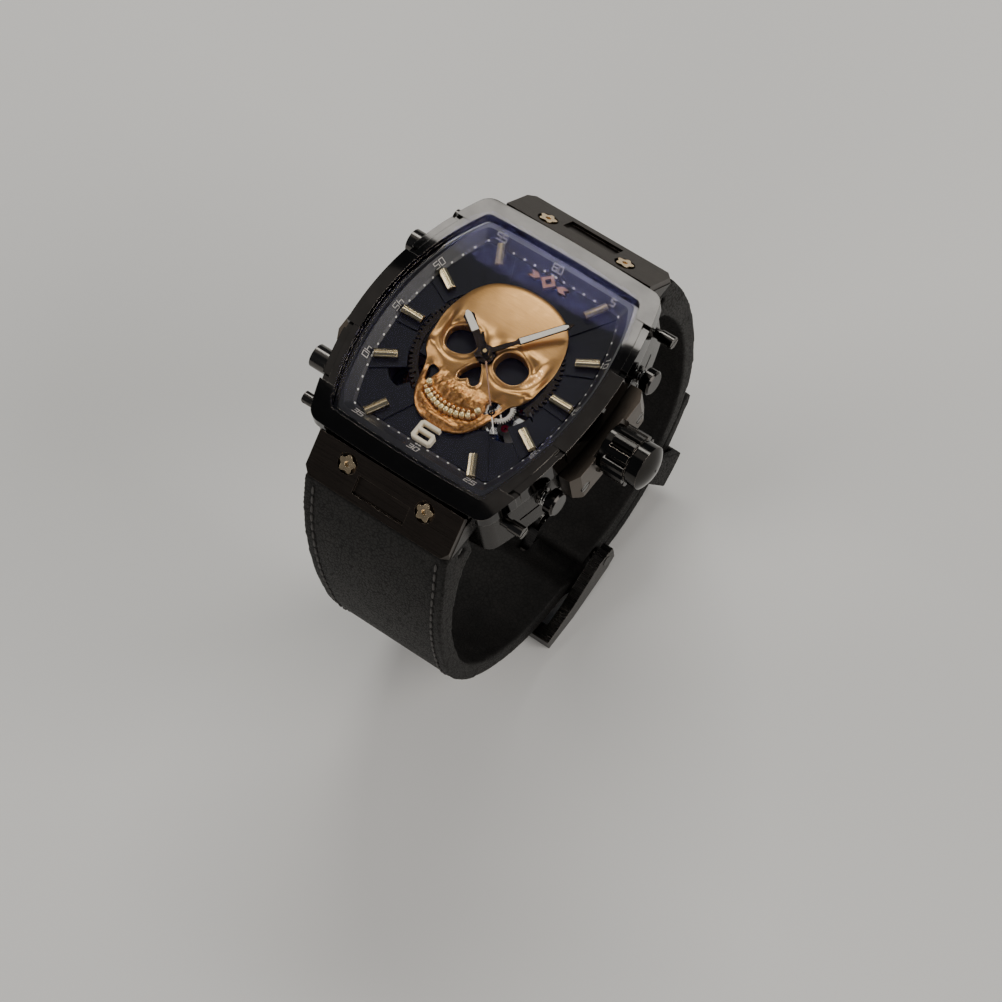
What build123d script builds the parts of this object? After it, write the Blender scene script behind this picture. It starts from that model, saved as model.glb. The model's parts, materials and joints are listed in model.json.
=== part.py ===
from build123d import *
import os
import math

# Skeleton wristwatch, tonneau case, automatic movement, closed strap.
# Millimetres. +X to 3 o'clock, +Y to 12 o'clock, +Z out of the dial.
# Origin: centre of the outer face of the case back.

os.makedirs("parts", exist_ok=True)

# ---------------------------------------------------------------- driving dimensions
MARK_Z = 11.5            # top plane of the hour markers
DIAL_Z0, DIAL_Z1 = 9.9, 10.3
CURVE_R = 110.0          # curvature of the case top about the X direction
BEZEL_TOP = 13.9         # lip of the bezel beside the crystal, at y = 0
BEZEL_Z0 = 9.6
CRYSTAL_TOP = 15.4
CRYSTAL_IN = 14.25
SKIRT_Z = 13.1
CASE_Z0, CASE_Z1 = 1.5, 9.3
BACK_Z1 = 1.3

# tonneau outlines: half width at y=0, half length at x=0, half width at the corner, corner y, corner radius
T_CRYSTAL = (17.6, 19.35, 13.5, 19.0, 1.3)
T_POCKET = (16.2, 17.9, 12.3, 17.6, 1.0)
T_BEZ_OUT = (19.7, 22.0, 15.3, 21.6, 2.4)
T_BEZ_IN = (17.0, 18.7, 12.95, 18.35, 1.0)
T_RH_OUT = (16.95, 18.65, 12.9, 18.3, 0.98)
T_RH_LOW = (14.85, 15.7, 11.4, 15.55, 0.9)
T_RH_TOP = (16.65, 18.35, 12.65, 18.05, 0.95)
T_DIAL = (16.7, 18.4, 12.7, 18.1, 0.9)
T_CAV = (17.0, 18.7, 13.0, 18.4, 1.2)
T_RING = (16.93, 18.63, 12.94, 18.33, 1.2)
T_MID = (19.3, 21.7, 15.2, 21.3, 2.4)
T_GASK = (18.9, 21.2, 14.8, 20.9, 2.0)
T_BACK = (17.9, 20.3, 14.0, 20.0, 2.0)
T_BGASK = (17.5, 19.9, 13.6, 19.6, 1.8)

STEM_Z = 7.0
MOVE_R = 15.0
HALF_STRAP = 12.8
STRAP_LOW = 10.6

PUSH_Y = 11.6
PUSH_Z = 6.6
PUSH_TRAVEL = 0.8
CROWN_TRAVEL = 1.2

HOUR_ANG = 147.0
MIN_ANG = 53.0
SEC_ANG = -48.0


# ---------------------------------------------------------------- helpers
def P(s):
    return Part() + s


def prism(points, vec):
    return Solid.extrude(Face(Wire.make_polygon([Vector(*p) for p in points], close=True)), Vector(*vec))


def yz(points, x0, x1):
    return P(prism([(x0, y, z) for y, z in points], (x1 - x0, 0, 0)))


def xy(points, z0, z1):
    return P(prism([(x, y, z0) for x, y in points], (0, 0, z1 - z0)))


def cyl(x, y, z0, z1, r):
    return P(Solid.make_cylinder(r, z1 - z0, Plane(origin=(x, y, z0), z_dir=(0, 0, 1))))


def cylx(x0, x1, y, z, r):
    return P(Solid.make_cylinder(r, x1 - x0, Plane(origin=(x0, y, z), z_dir=(1, 0, 0))))




def ring(x, y, z0, z1, r1, r0):
    return cyl(x, y, z0, z1, r1) - cyl(x, y, z0 - 1, z1 + 1, r0)


def box(x0, x1, y0, y1, z0, z1):
    return P(Solid.make_box(x1 - x0, y1 - y0, z1 - z0, Plane(origin=(x0, y0, z0))))


def pol(r, a, c=(0.0, 0.0)):
    return (c[0] + r * math.cos(math.radians(a)), c[1] + r * math.sin(math.radians(a)))


def outline(t):
    hw, hl, cx, cy, r = t
    e = [
        ThreePointArc((cx, -cy), (hw, 0), (cx, cy)),
        ThreePointArc((cx, cy), (0, hl), (-cx, cy)),
        ThreePointArc((-cx, cy), (-hw, 0), (-cx, -cy)),
        ThreePointArc((-cx, -cy), (0, -hl), (cx, -cy)),
    ]
    w = Wire([x for q in e for x in q.edges()])
    f = Face(w)
    return f.fillet_2d(r, f.vertices())


def tonneau(t, z0, z1):
    return P(Solid.extrude(outline(t).moved(Location((0, 0, z0))), Vector(0, 0, z1 - z0)))


def under(apex):
    # everything below the curved case surface whose crest is at z = apex
    return P(Solid.make_cylinder(CURVE_R, 80, Plane(origin=(-40, 0, apex - CURVE_R), z_dir=(1, 0, 0))))


def union(items):
    out = Part()
    for i in items:
        out = out + i
    return out


def save(name, part):
    export_step(part, os.path.join("parts", name + ".step"))


def gear_pts(n, m, c, phase, wide=0.40, add=0.95, ded=1.35):
    rp = m * n / 2
    step = 360.0 / n
    pts = []
    for i in range(n):
        a = phase + i * step
        for r, w in ((rp - ded * m, -0.52), (rp, -wide), (rp + add * m, -0.16), (rp + add * m, 0.16), (rp, wide), (rp - ded * m, 0.52)):
            pts.append(pol(r, a + 0.5 * step * w * (1 if abs(w) != 0.52 else wide / 0.40), c))
    return pts


def gear(n, m, c, phase, z0, z1, wide=0.40, add=0.95):
    return xy(gear_pts(n, m, c, phase, wide, add), z0, z1)


def windows(c, r0, r1, z0, z1, n, arm, turn=0.0):
    w = ring(c[0], c[1], z0, z1, r1, r0)
    for i in range(n):
        a = turn + i * 360.0 / n
        d = pol(1, a)
        nrm = (-d[1], d[0])
        h = arm / 2
        q = []
        for s, t in ((0, -h), (r1 + 1, -h), (r1 + 1, h), (0, h)):
            q.append((c[0] + d[0] * s + nrm[0] * t, c[1] + d[1] * s + nrm[1] * t))
        w = w - xy(q, z0 - 0.5, z1 + 0.5)
    return w


# ---------------------------------------------------------------- case
tenon = [(20.0, 1.9), (24.6, 1.5), (26.4, 3.0), (26.6, 6.1), (20.0, 6.1)]
# hood plate line in the YZ plane, upper face
H0, H1 = (22.35, 11.25), (27.7, 6.65)
hd = math.hypot(H1[0] - H0[0], H1[1] - H0[1])
hu = ((H1[0] - H0[0]) / hd, (H1[1] - H0[1]) / hd)       # down the slope
hn = (-hu[1], hu[0])                                     # out of the plate
HOOD_T = 1.1


def hp(s, t):
    return (H0[0] + hu[0] * s + hn[0] * t, H0[1] + hu[1] * s + hn[1] * t)


shelf_out = hp(hd - 0.15, -HOOD_T - 0.03)
shelf_in = hp(-0.2, -HOOD_T - 0.03)
shelf = [(20.0, 6.0), (shelf_out[0] - 0.35, 6.0), shelf_out, shelf_in, (20.0, shelf_in[1])]


def mirror_y(s):
    return P(mirror(s, about=Plane.XZ))


def mirror_x(s):
    return P(mirror(s, about=Plane.YZ))


mid = tonneau(T_MID, CASE_Z0, CASE_Z1)
blk = yz(shelf, -13.0, 13.0) & box(-14, 14, 20.0, 29, 1, 9.28)
ten = yz(tenon, -8.4, 8.4)
mid = mid + blk + mirror_y(blk) + ten + mirror_y(ten)
mid = mid - tonneau(T_CAV, CASE_Z0 - 1, CASE_Z1 + 1)
# waist groove along the long flanks
flank = tonneau((21.5, 30, 21.0, 29, 2.0), 4.7, 5.2) - tonneau((18.9, 30, 14.7, 21.3, 2.0), 4, 6)
mid = mid - (flank & box(-25, 25, -16, 16, 0, 12))
mid = mid - cylx(15, 23, 0, STEM_Z, 1.55)
for sy in (1, -1):
    mid = mid - cylx(15, 23, sy * PUSH_Y, PUSH_Z, 1.45)
# side screw, strap pin and plate screw bores
SIDE_Y, SIDE_Z = 18.2, 7.5
for sy in (1, -1):
    for sx in (1, -1):
        mid = mid - cylx(min(sx * 14.4, sx * 20), max(sx * 14.4, sx * 20), sy * SIDE_Y, SIDE_Z, 0.82)
    mid = mid - cylx(-9, 9, sy * 24.3, 3.7, 0.83)

# four case back screws
BSC = [(sx * 11.0, sy * 19.45) for sx in (1, -1) for sy in (1, -1)]
for x, y in BSC:
    mid = mid - cyl(x, y, 1.0, 4.2, 0.52)

# hood screws: axis normal to the plate
HS = 2.35
hs_c = hp(HS, 0)


def tilt(part, x, sy):
    # part built along local z (0 = plate face) placed normal to a hood plate
    pl = Plane(origin=(x, sy * hs_c[0], hs_c[1]), x_dir=(1, 0, 0), z_dir=(0, sy * hn[0], hn[1]))
    return P(pl.location * part)


def lz(r, z0, z1):
    return P(Solid.make_cylinder(r, z1 - z0, Plane(origin=(0, 0, z0), z_dir=(0, 0, 1))))


for sy in (1, -1):
    for sx in (1, -1):
        mid = mid - tilt(lz(0.67, -4.0, 1.0), sx * 6.9, sy)

mid = mid - box(19.3, 23, -8.9, 8.9, 3.0, 9.5) - box(-23, -19.3, -8.9, 8.9, 3.0, 9.5)
gk = tonneau(T_GASK, CASE_Z1 + 0.01, BEZEL_Z0 - 0.01) - tonneau(T_CAV, 9, 10)

# bezel: base ring, raised stepped blocks on the long sides, corner blocks
base = (tonneau(T_BEZ_OUT, BEZEL_Z0, 15) & under(BEZEL_TOP - 0.55))
lipo = tonneau((18.75, 20.6, 14.6, 20.25, 1.8), BEZEL_Z0, 15) & under(BEZEL_TOP)
outer = tonneau((19.95, 22.1, 15.55, 21.75, 2.4), BEZEL_Z0 + 1.0, 15) & under(BEZEL_TOP + 0.12)
blocks = (outer & box(-25, 25, -7.0, 7.0, 10.0, 16))
outer2 = tonneau((19.8, 22.05, 15.4, 21.68, 2.4), BEZEL_Z0 + 0.5, 15) & under(BEZEL_TOP - 0.05)
blocks2 = (outer2 & box(-25, 25, 8.1, 15.4, 10.0, 16)) + (outer2 & box(-25, 25, -15.4, -8.1, 10.0, 16))
outer3 = tonneau((19.9, 22.08, 15.5, 21.7, 2.4), BEZEL_Z0 + 0.3, 15) & under(BEZEL_TOP + 0.05)
cor = union([outer3 & box(-25, 25, 16.3, 30, 10, 16), outer3 & box(-25, 25, -30, -16.3, 10, 16)])
bezel = base + lipo + blocks + blocks2 + cor
bz_open = tonneau(T_BEZ_IN, BEZEL_Z0 - 1, 16)
rab = tonneau((17.66, 19.41, 13.56, 19.06, 1.3), 9, 17) - under(SKIRT_Z - 0.02)
bezel = bezel - bz_open - rab
save("bezel", bezel)

cr = (tonneau(T_CRYSTAL, 9, 17) & under(CRYSTAL_TOP)) - under(SKIRT_Z + 0.02)
cr = cr - (tonneau(T_POCKET, 9, 17) & under(CRYSTAL_IN))
# bevelled rim of the crystal
rimo = tonneau((16.75, 18.5, 12.7, 18.15, 1.2), 9, 17)
bev = loft([outline((17.61, 19.36, 13.51, 19.01, 1.3)).moved(Location((0, 0, 14.35))), outline((16.75, 18.5, 12.7, 18.15, 1.2)).moved(Location((0, 0, 15.41)))])
keep = P(bev) + tonneau((17.65, 19.4, 13.55, 19.05, 1.3), 8, 14.35)
cr = cr & keep
save("crystal", cr)

# rehaut: slanted flange
rh = tonneau(T_RH_OUT, DIAL_Z1 + 0.01, 15) & under(SKIRT_Z - 0.08)
RH_Z = 12.0                   # top of the slanted part
fun = loft([outline(T_RH_LOW).moved(Location((0, 0, DIAL_Z1 - 0.3))), outline(T_RH_TOP).moved(Location((0, 0, RH_Z)))])
rh = rh - P(fun) - tonneau((T_RH_TOP[0] + 0.06, T_RH_TOP[1] + 0.06, T_RH_TOP[2] + 0.05, T_RH_TOP[3] + 0.05, T_RH_TOP[4]), RH_Z - 0.04, 15)
for hr in (1, 5, 7, 11):       # clearance round the outer ends of four hour markers
    a = math.radians(90.0 - 30.0 * hr)
    q = [(math.cos(a) * r - math.sin(a) * t, math.sin(a) * r + math.cos(a) * t) for r, t in ((14.0, -0.7), (19.05, -0.7), (19.05, 0.7), (14.0, 0.7))]
    rh = rh - xy(q, 9.5, 13.0)
save("rehaut", rh)

# ---------------------------------------------------------------- case back
back = tonneau(T_BACK, 0, BACK_Z1)
back = back - cyl(0, 0, -1, 3, 12.4) - cyl(0, 0, 0.55, 3, 13.26)
for x, y in BSC:
    back = back - cyl(x, y, -1, 3, 0.55) - cyl(x, y, -1, 0.62, 1.0)
lip = chamfer(back.faces().sort_by(Axis.Z)[0].outer_wire().edges(), 0.35)
back = P(lip) if lip.volume > 0 else back
save("case_back", back)
save("case_back_window", cyl(0, 0, 0, 0.7, 12.32) + cyl(0, 0, 0.58, 1.28, 13.1))
bg = tonneau(T_BGASK, BACK_Z1 + 0.01, CASE_Z0 - 0.01) - tonneau((17.05, 18.8, 13.1, 18.5, 1.2), 1, 2)
for x, y in BSC:
    bg = bg - cyl(x, y, 1, 2, 0.6)
save("case_gaskets", gk + bg)


def slot_head(r, z0, z1, slot_z0):
    h = lz(r, z0, z1)
    return h - box(-r - 0.1, r + 0.1, -0.14, 0.14, slot_z0, z1 + 0.1)


bsc = Part()
for x, y in BSC:
    s = cyl(x, y, 0.08, 0.60, 0.94) - box(x - 1.2, x + 1.2, y - 0.13, y + 0.13, 0, 0.33) + cyl(x, y, 0.5, 3.9, 0.45)
    bsc = bsc + s

# ---------------------------------------------------------------- hood plates and their lobed screws
plate_pts = [hp(0, 0), hp(hd, 0), hp(hd, -HOOD_T), hp(0.0, -HOOD_T)]


def hood(sy):
    p = yz([(sy * y, z) for y, z in plate_pts], -12.9, 12.9)
    # chamfered side corners at the lower edge
    for sx in (1, -1):
        y0, y1 = hp(hd - 1.6, 0)[0], hp(hd, 0)[0] + 0.3
        p = p - xy([(sx * 13.2, sy * y0), (sx * 13.2, sy * y1), (sx * 11.6, sy * y1)], 4, 14)
        p = p - tilt(lz(1.62, -0.62, 1.0), sx * 6.9, sy) - tilt(lz(0.72, -3.0, 1.0), sx * 6.9, sy)
    p = p - tonneau((20.1, 22.2, 15.7, 21.85, 2.4), 9.4, 15)
    # recess between the screws at the lower edge
    a, b, c, d = hp(2.9, 0.5), hp(hd - 1.2, 0.5), hp(hd - 1.2, -0.5), hp(2.9, -0.5)
    p = p - yz([(sy * q[0], q[1]) for q in (a, b, c, d)], -4.6, 4.6)
    return p


save("hood_plate_12", hood(1))
save("hood_plate_6", hood(-1))


def lobed(n, r, dip, z0, z1, steps=60):
    pts = []
    for i in range(steps):
        a = 360.0 * i / steps
        pts.append((pol(r - dip * (0.5 - 0.5 * math.cos(math.radians(n * a))), a + 90)))
    return xy(pts, z0, z1)


scr = Part()
for sy in (1, -1):
    for sx in (1, -1):
        s = lobed(5, 1.42, 0.42, -0.58, 0.12) - lz(0.42, -0.28, 1.0) + lz(0.6, -3.6, -0.5)
        scr = scr + tilt(s, sx * 6.9, sy)
save("hood_screws", scr)

# ---------------------------------------------------------------- side plates, screws, tubes
gp = [(19.0, -8.75), (20.9, -8.75), (21.75, -7.2), (21.95, 0), (21.75, 7.2), (20.9, 8.75), (19.0, 8.75)]
guard = xy(gp, 3.1, 9.15) - tonneau((19.36, 21.8, 15.3, 21.4, 2.4), 2, 10)
guard = guard & yz([(-9, 4.4), (-7.6, 3.1), (7.6, 3.1), (9, 4.4), (9, 9.2), (-9, 9.2)], 15, 23)
left = mirror_x(guard)
PS = [(-6.6, 5.0), (6.6, 5.0)]
guard = guard - cylx(18, 24, 0, STEM_Z, 1.55) - cylx(21.3, 24, 0, STEM_Z, 4.2)
for y, z in PS:
    guard = guard - cylx(20.9, 24, y, z, 0.95) - cylx(18, 24, y, z, 0.4)
    left = left - cylx(-24, -20.9, y, z, 0.95) - cylx(-24, -18, y, z, 0.4)
save("crown_guard", guard)
save("side_plate", left)
ps = Part()
for y, z in PS:
    h = cylx(20.95, 21.75, y, z, 0.88) - box(21.35, 22, y - 1, y + 1, z - 0.13, z + 0.13) + cylx(19.45, 21.0, y, z, 0.36)
    ps = ps + h + mirror_x(h)

sc = Part()
for sy in (1, -1):
    h = cylx(14.8, 17.6, sy * SIDE_Y, SIDE_Z, 0.76) + cylx(17.4, 19.7, sy * SIDE_Y, SIDE_Z, 0.95)
    h = h - box(19.1, 20, sy * SIDE_Y - 1, sy * SIDE_Y + 1, SIDE_Z - 0.16, SIDE_Z + 0.16)
    sc = sc + h + mirror_x(h)
save("flank_screws", sc + ps)

# crown tube
ct = cylx(17.03, 21.25, 0, STEM_Z, 1.5) - cylx(15, 23, 0, STEM_Z, 0.8)

pt = Part()
for sy in (1, -1):
    t = cylx(17.05, 18.3, sy * PUSH_Y, PUSH_Z, 1.4)
    t = t - cylx(15, 21, sy * PUSH_Y, PUSH_Z, 0.8)
    pt = pt + t
save("button_tubes", pt + ct)

st = Part()
for sy in (1, -1):
    t = cylx(-22.3, -17.2, sy * PUSH_Y, PUSH_Z, 1.35) + cylx(-22.9, -20.2, sy * PUSH_Y, PUSH_Z, 1.85)
    t = t - cylx(-23.2, -22.6, sy * PUSH_Y, PUSH_Z, 1.0)
    st = st + t
mid2 = mid
for sy in (1, -1):
    mid2 = mid2 - cylx(-23, -17.1, sy * PUSH_Y, PUSH_Z, 1.38)
save("mid_case", mid2)
save("left_studs", st)

# ---------------------------------------------------------------- pushers, springs
for nm, sy in (("pusher_upper", 1), ("pusher_lower", -1)):
    y = sy * PUSH_Y
    h = cylx(19.35, 20.9, y, PUSH_Z, 1.95)
    h = P(chamfer(h.edges().filter_by(GeomType.CIRCLE).sort_by(Axis.X)[-1], 0.3))
    h = h - cylx(18, 20.35, y, PUSH_Z, 1.5)
    h = h + cylx(17.2, 20.5, y, PUSH_Z, 0.74)
    save(nm, h)


def coil(r, wire_r, pitch, height, plane):
    path = Helix(pitch=pitch, height=height, radius=r)
    e = path.edges()[0]
    sec = Plane(origin=e @ 0, z_dir=e % 0) * Circle(wire_r)
    return P(plane.location * sweep(sec, path=e))


sp = Part()
for sy in (1, -1):
    sp = sp + coil(1.12, 0.14, 0.42, 1.75, Plane(origin=(18.47, sy * PUSH_Y, PUSH_Z), z_dir=(1, 0, 0)))
save("pusher_springs", sp)

# ---------------------------------------------------------------- crown, stem, winding pinion
cp = []
NL = 12
for i in range(NL):
    a = i * 360.0 / NL
    for r, da in ((3.45, -13.5), (3.95, -8.5), (4.05, 0), (3.95, 8.5), (3.45, 13.5)):
        cp.append(pol(r, a + da))
body = P(Solid.extrude(Face(Wire.make_polygon([Vector(0, y, z) for y, z in cp], close=True)), Vector(3.6, 0, 0)))
crown = P(Location((22.6, 0, STEM_Z)) * body)
dome = P(Solid.make_sphere(6.2, Plane(origin=(23.05, 0, STEM_Z), z_dir=(1, 0, 0)))) & cylx(26.1, 30, 0, STEM_Z, 3.45)
crown = crown + cylx(21.5, 22.7, 0, STEM_Z, 3.5) + dome
crown = crown - cylx(20, 24.6, 0, STEM_Z, 1.62)
save("crown", crown)
sq = 0.46
stem = cylx(16.0, 25.2, 0, STEM_Z, 0.72) + cylx(13.4, 16.1, 0, STEM_Z, 0.6) + box(11.0, 13.5, -sq, sq, STEM_Z - sq, STEM_Z + sq)
save("winding_stem", stem - cylx(24.6, 26, 0, STEM_Z, 2) + cylx(24.0, 24.59, 0, STEM_Z, 1.55))
wp = P(Solid.extrude(Face(Wire.make_polygon([Vector(11.3, y, z + STEM_Z) for y, z in gear_pts(16, 0.14, (0, 0), 0)], close=True)), Vector(1.7, 0, 0)))
wp = wp - box(10, 14, -sq - 0.04, sq + 0.04, STEM_Z - sq - 0.04, STEM_Z + sq + 0.04)
save("winding_pinion", wp)

# ---------------------------------------------------------------- movement layout
C0 = (0.0, 0.0)
D1 = 5.4                       # centre wheel to third wheel
A3 = 118.0
C3 = pol(D1, A3)
M1, M2 = D1 / 36.0, D1 / 34.0
AE = 10.0
M4 = 0.1
N4, NE = 96, 8
DE = M4 * (N4 + NE) / 2        # fourth wheel to escape wheel
CE = pol(DE, AE)
CB = pol(10.1, -40.0)          # balance
ANG_EB = math.degrees(math.atan2(CB[1] - CE[1], CB[0] - CE[0]))
CP = pol(2.3, ANG_EB, CE)      # pallet fork
DB = 6.8                       # centre wheel to barrel
ABR = 219.0
CBR = pol(DB, ABR)
NB, NCP = 60, 9
MB = 2 * DB / (NB + NCP)
D2 = 4.0                       # centre to minute wheel
AM = 62.0
CM = pol(D2, AM)
NR, NCR, MR = 42, 26, 0.15     # ratchet wheel, crown wheel
ACR = 160.0
CR = pol(MR * (NR + NCR) / 2, ACR, CBR)

PL0, PL1 = 6.2, 8.8            # main plate
BR0, BR1 = 2.8, 3.6            # bridges
ARM0, ARM1 = 7.0, 7.8
JR = 0.62                      # jewel radius
OPEN_L = (-8.3, -7.3)
SCM = [pol(13.9, 75), pol(13.9, 136), pol(13.9, 12), pol(13.9, -78), pol(13.8, 176), pol(13.9, 248)]


def bar2(a, b, w, z0, z1):
    d = math.hypot(b[0] - a[0], b[1] - a[1])
    u = ((b[0] - a[0]) / d, (b[1] - a[1]) / d)
    n = (-u[1] * w / 2, u[0] * w / 2)
    return xy([(a[0] - n[0], a[1] - n[1]), (b[0] - n[0], b[1] - n[1]), (b[0] + n[0], b[1] + n[1]), (a[0] + n[0], a[1] + n[1])], z0, z1)


plate = cyl(0, 0, PL0, PL1, MOVE_R) - cyl(CB[0], CB[1], PL0 - 1, PL1 + 1, 4.45)
plate = plate - (cyl(OPEN_L[0], OPEN_L[1], PL0 - 1, PL1 + 1, 3.3) & cyl(0, 0, 0, 12, 14.2))
plate = plate - cyl(*pol(10.6, 22.0), PL1 - 0.6, PL1 + 1, 2.4) - cyl(*pol(10.6, 96.0), PL1 - 0.6, PL1 + 1, 2.4)
arm_b = bar2(pol(5.2, -40), pol(14.6, -40), 1.1, ARM0, ARM1) + cyl(CB[0], CB[1], ARM0, ARM1, 1.2)
plate = plate + arm_b
plate = plate - cylx(9.5, 16, 0, STEM_Z, 0.67) - box(11.0, 13.3, -1.6, 1.6, 5, 9.5)
for c in (C3, CE, CP):
    plate = plate - cyl(c[0], c[1], PL0 - 1, PL0 + 0.6, JR) - cyl(c[0], c[1], PL0, PL0 + 1.2, 0.3)
plate = plate - cyl(CB[0], CB[1], PL0, PL1 + 1, JR)
plate = plate - cyl(CBR[0], CBR[1], PL0 - 1, PL0 + 1.6, 0.56)
plate = plate - cyl(0, 0, PL0 - 1, PL1 + 1, 0.93)
plate = plate - cyl(CM[0], CM[1], PL1 - 1.2, PL1 + 1, 0.33)
for c in SCM:
    plate = plate - cyl(c[0], c[1], PL0 - 1, PL0 + 1.5, 0.36)
save("main_plate", plate)


def post(c, r=0.85):
    return cyl(c[0], c[1], BR1 - 0.1, PL0 - 0.01, r)


def wedge(a0, a1, r0, r1):
    n = 16
    pts = [pol(r1, a0 + (a1 - a0) * i / n) for i in range(n + 1)] + [pol(r0, a1 - (a1 - a0) * i / n) for i in range(n + 1)]
    return xy(pts, BR0, BR1)


def well(c):
    return cyl(c[0], c[1], 0, 9, 0.36) + cyl(c[0], c[1], 0, BR0 + 0.35, 0.75)


train_b = wedge(0, 146, 0.6, 14.7) + cyl(0, 0, BR0, BR1, 2.3) + cyl(CE[0], CE[1], BR0, BR1, 1.2) + cyl(CP[0], CP[1], BR0, BR1, 1.05)
train_b = train_b + bar2(C0, CE, 2.4, BR0, BR1) + bar2(CE, CP, 2.0, BR0, BR1) + cyl(C3[0], C3[1], BR0, BR1, 1.4)
train_b = train_b - (cyl(*pol(9.8, 78), 0, 5, 3.0)) - cyl(*pol(9.4, 34), 0, 5, 2.6)
train_b = train_b + post(SCM[0]) + post(SCM[1]) + post(SCM[2])
for c in (C0, C3, CE, CP):
    train_b = train_b - cyl(c[0], c[1], 2, 5, JR)
for c in SCM[:3]:
    train_b = train_b - well(c)
barrel_b = wedge(152, 262, 2.6, 14.7) + post(SCM[4]) + post(SCM[5])
barrel_b = barrel_b - cyl(CBR[0], CBR[1], 0, 5, 0.56) - cyl(CR[0], CR[1], 0, 5, 0.53)
for c in SCM[4:]:
    barrel_b = barrel_b - well(c)
cock = wedge(-92, -62, 9.6, 14.7) + bar2(pol(12.0, -70), CB, 2.6, BR0, BR1) + cyl(CB[0], CB[1], BR0, BR1, 1.5) + post(SCM[3])
cock = cock - cyl(CB[0], CB[1], 0, 5, JR) - well(SCM[3])
save("train_bridge", train_b)
save("barrel_bridge", barrel_b)
save("balance_cock", cock)

ms = Part()
for c in SCM:
    h = cyl(c[0], c[1], BR0 + 0.02, BR0 + 0.33, 0.68) - box(c[0] - 0.8, c[0] + 0.8, c[1] - 0.09, c[1] + 0.09, BR0 - 0.2, BR0 + 0.17)
    ms = ms + h + cyl(c[0], c[1], BR0 + 0.3, PL0 + 1.3, 0.33)
save("back_screws", ms + bsc)

jw = Part()
for c in (C3, CE, CP):
    jw = jw + ring(c[0], c[1], PL0 + 0.02, PL0 + 0.5, JR - 0.01, 0.17)
for c in (C3, CE, CP, CB):
    jw = jw + ring(c[0], c[1], BR0 + 0.05, BR0 + 0.6, JR - 0.01, 0.17)
jw = jw + ring(0, 0, BR0 + 0.15, BR0 + 0.65, JR - 0.01, 0.25)
jw = jw + ring(CB[0], CB[1], ARM0 + 0.1, ARM1 - 0.05, JR - 0.01, 0.17)
save("jewels", jw)

# ---------------------------------------------------------------- train
# centre wheel, hollow arbor and cannon pinion: one turn an hour
CA = 0.37                      # bore of the hollow arbor
cw = gear(64, M1, C0, A3, 5.5, 5.68) - windows(C0, 1.3, 3.9, 5, 6, 5, 0.6)
cw = cw + gear(NCP, MB, C0, ABR + 180.0 / NCP, 4.38, 5.3, 0.29, 0.7) + cyl(0, 0, 4.35, 8.95, 0.85)
cw = cw + gear(12, D2 / 24.0, C0, AM, 8.95, 9.28, 0.36, 0.85) + cyl(0, 0, 8.85, 12.88, 0.62)
cw = cw - cyl(0, 0, 3, 14, CA)
save("centre_wheel", cw)

tw = gear(60, M2, C3, A3 + 180.0, 3.75, 3.93) - windows(C3, 0.8, 3.9, 3.5, 4.2, 5, 0.5, 20)
tw = tw + gear(8, M1, C3, A3 + 180.0 + 22.5, 5.42, 5.76, 0.34, 0.75) + cyl(C3[0], C3[1], 3.7, 5.8, 0.34) + cyl(C3[0], C3[1], 2.9, 6.65, 0.12)
save("third_wheel", tw)

# fourth wheel: its arbor runs through the hollow centre arbor and carries the seconds hand
fw = gear(8, M2, C0, A3 + 22.5, 3.7, 3.98, 0.34, 0.75) + (gear(N4, M4, C0, AE, 4.06, 4.2) - windows(C0, 0.9, 4.1, 4, 4.3, 5, 0.5, 10))
fw = fw + cyl(0, 0, 3.68, 4.28, 0.42) + cyl(0, 0, 3.6, 13.3, 0.29) + cyl(0, 0, 2.96, 3.7, 0.2)
save("fourth_wheel", fw)

ep = gear(NE, M4, CE, AE + 180.0 + 22.5, 4.0, 4.26, 0.34, 0.7) + cyl(CE[0], CE[1], 3.7, 5.9, 0.2) + cyl(CE[0], CE[1], 2.9, 6.65, 0.12)
# escape wheel with slanted teeth
pts = []
RE = 1.9
for i in range(20):
    a = i * 18.0 + 4.0
    pts += [pol(RE - 0.38, a - 6, CE), pol(RE, a + 1.0, CE), pol(RE, a + 3.2, CE), pol(RE - 0.38, a + 3.6, CE)]
ew = xy(pts, 4.6, 4.75) - windows(CE, 0.45, 1.25, 4.5, 4.9, 4, 0.25)
save("escape_wheel", ep + ew)

# pallet fork: lever, two stones outside the tooth tips, horns toward the balance staff
fk_u = pol(1, ANG_EB)
fk_n = (-fk_u[1], fk_u[0])


def fl(s, t):
    return (CP[0] + fk_u[0] * s + fk_n[0] * t, CP[1] + fk_u[1] * s + fk_n[1] * t)


pf = xy([fl(-0.15, 0.28), fl(-0.05, 1.1), fl(-0.30, 1.25), fl(-0.42, 0.95), fl(-0.3, -0.95), fl(-0.2, -1.25), fl(0.05, -1.1), fl(0.15, -0.28),
         fl(2.0, -0.14), fl(2.35, -0.42), fl(2.42, -0.2), fl(2.2, 0.0), fl(2.42, 0.2), fl(2.35, 0.42), fl(2.0, 0.14), fl(0.3, 0.28)], 4.58, 4.78)
pf = pf - cyl(CE[0], CE[1], 4, 5, RE + 0.06)
pf = pf + cyl(CP[0], CP[1], 4.3, 5.2, 0.26) + cyl(CP[0], CP[1], 2.9, 6.65, 0.12)
save("pallet_fork", pf)

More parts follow.
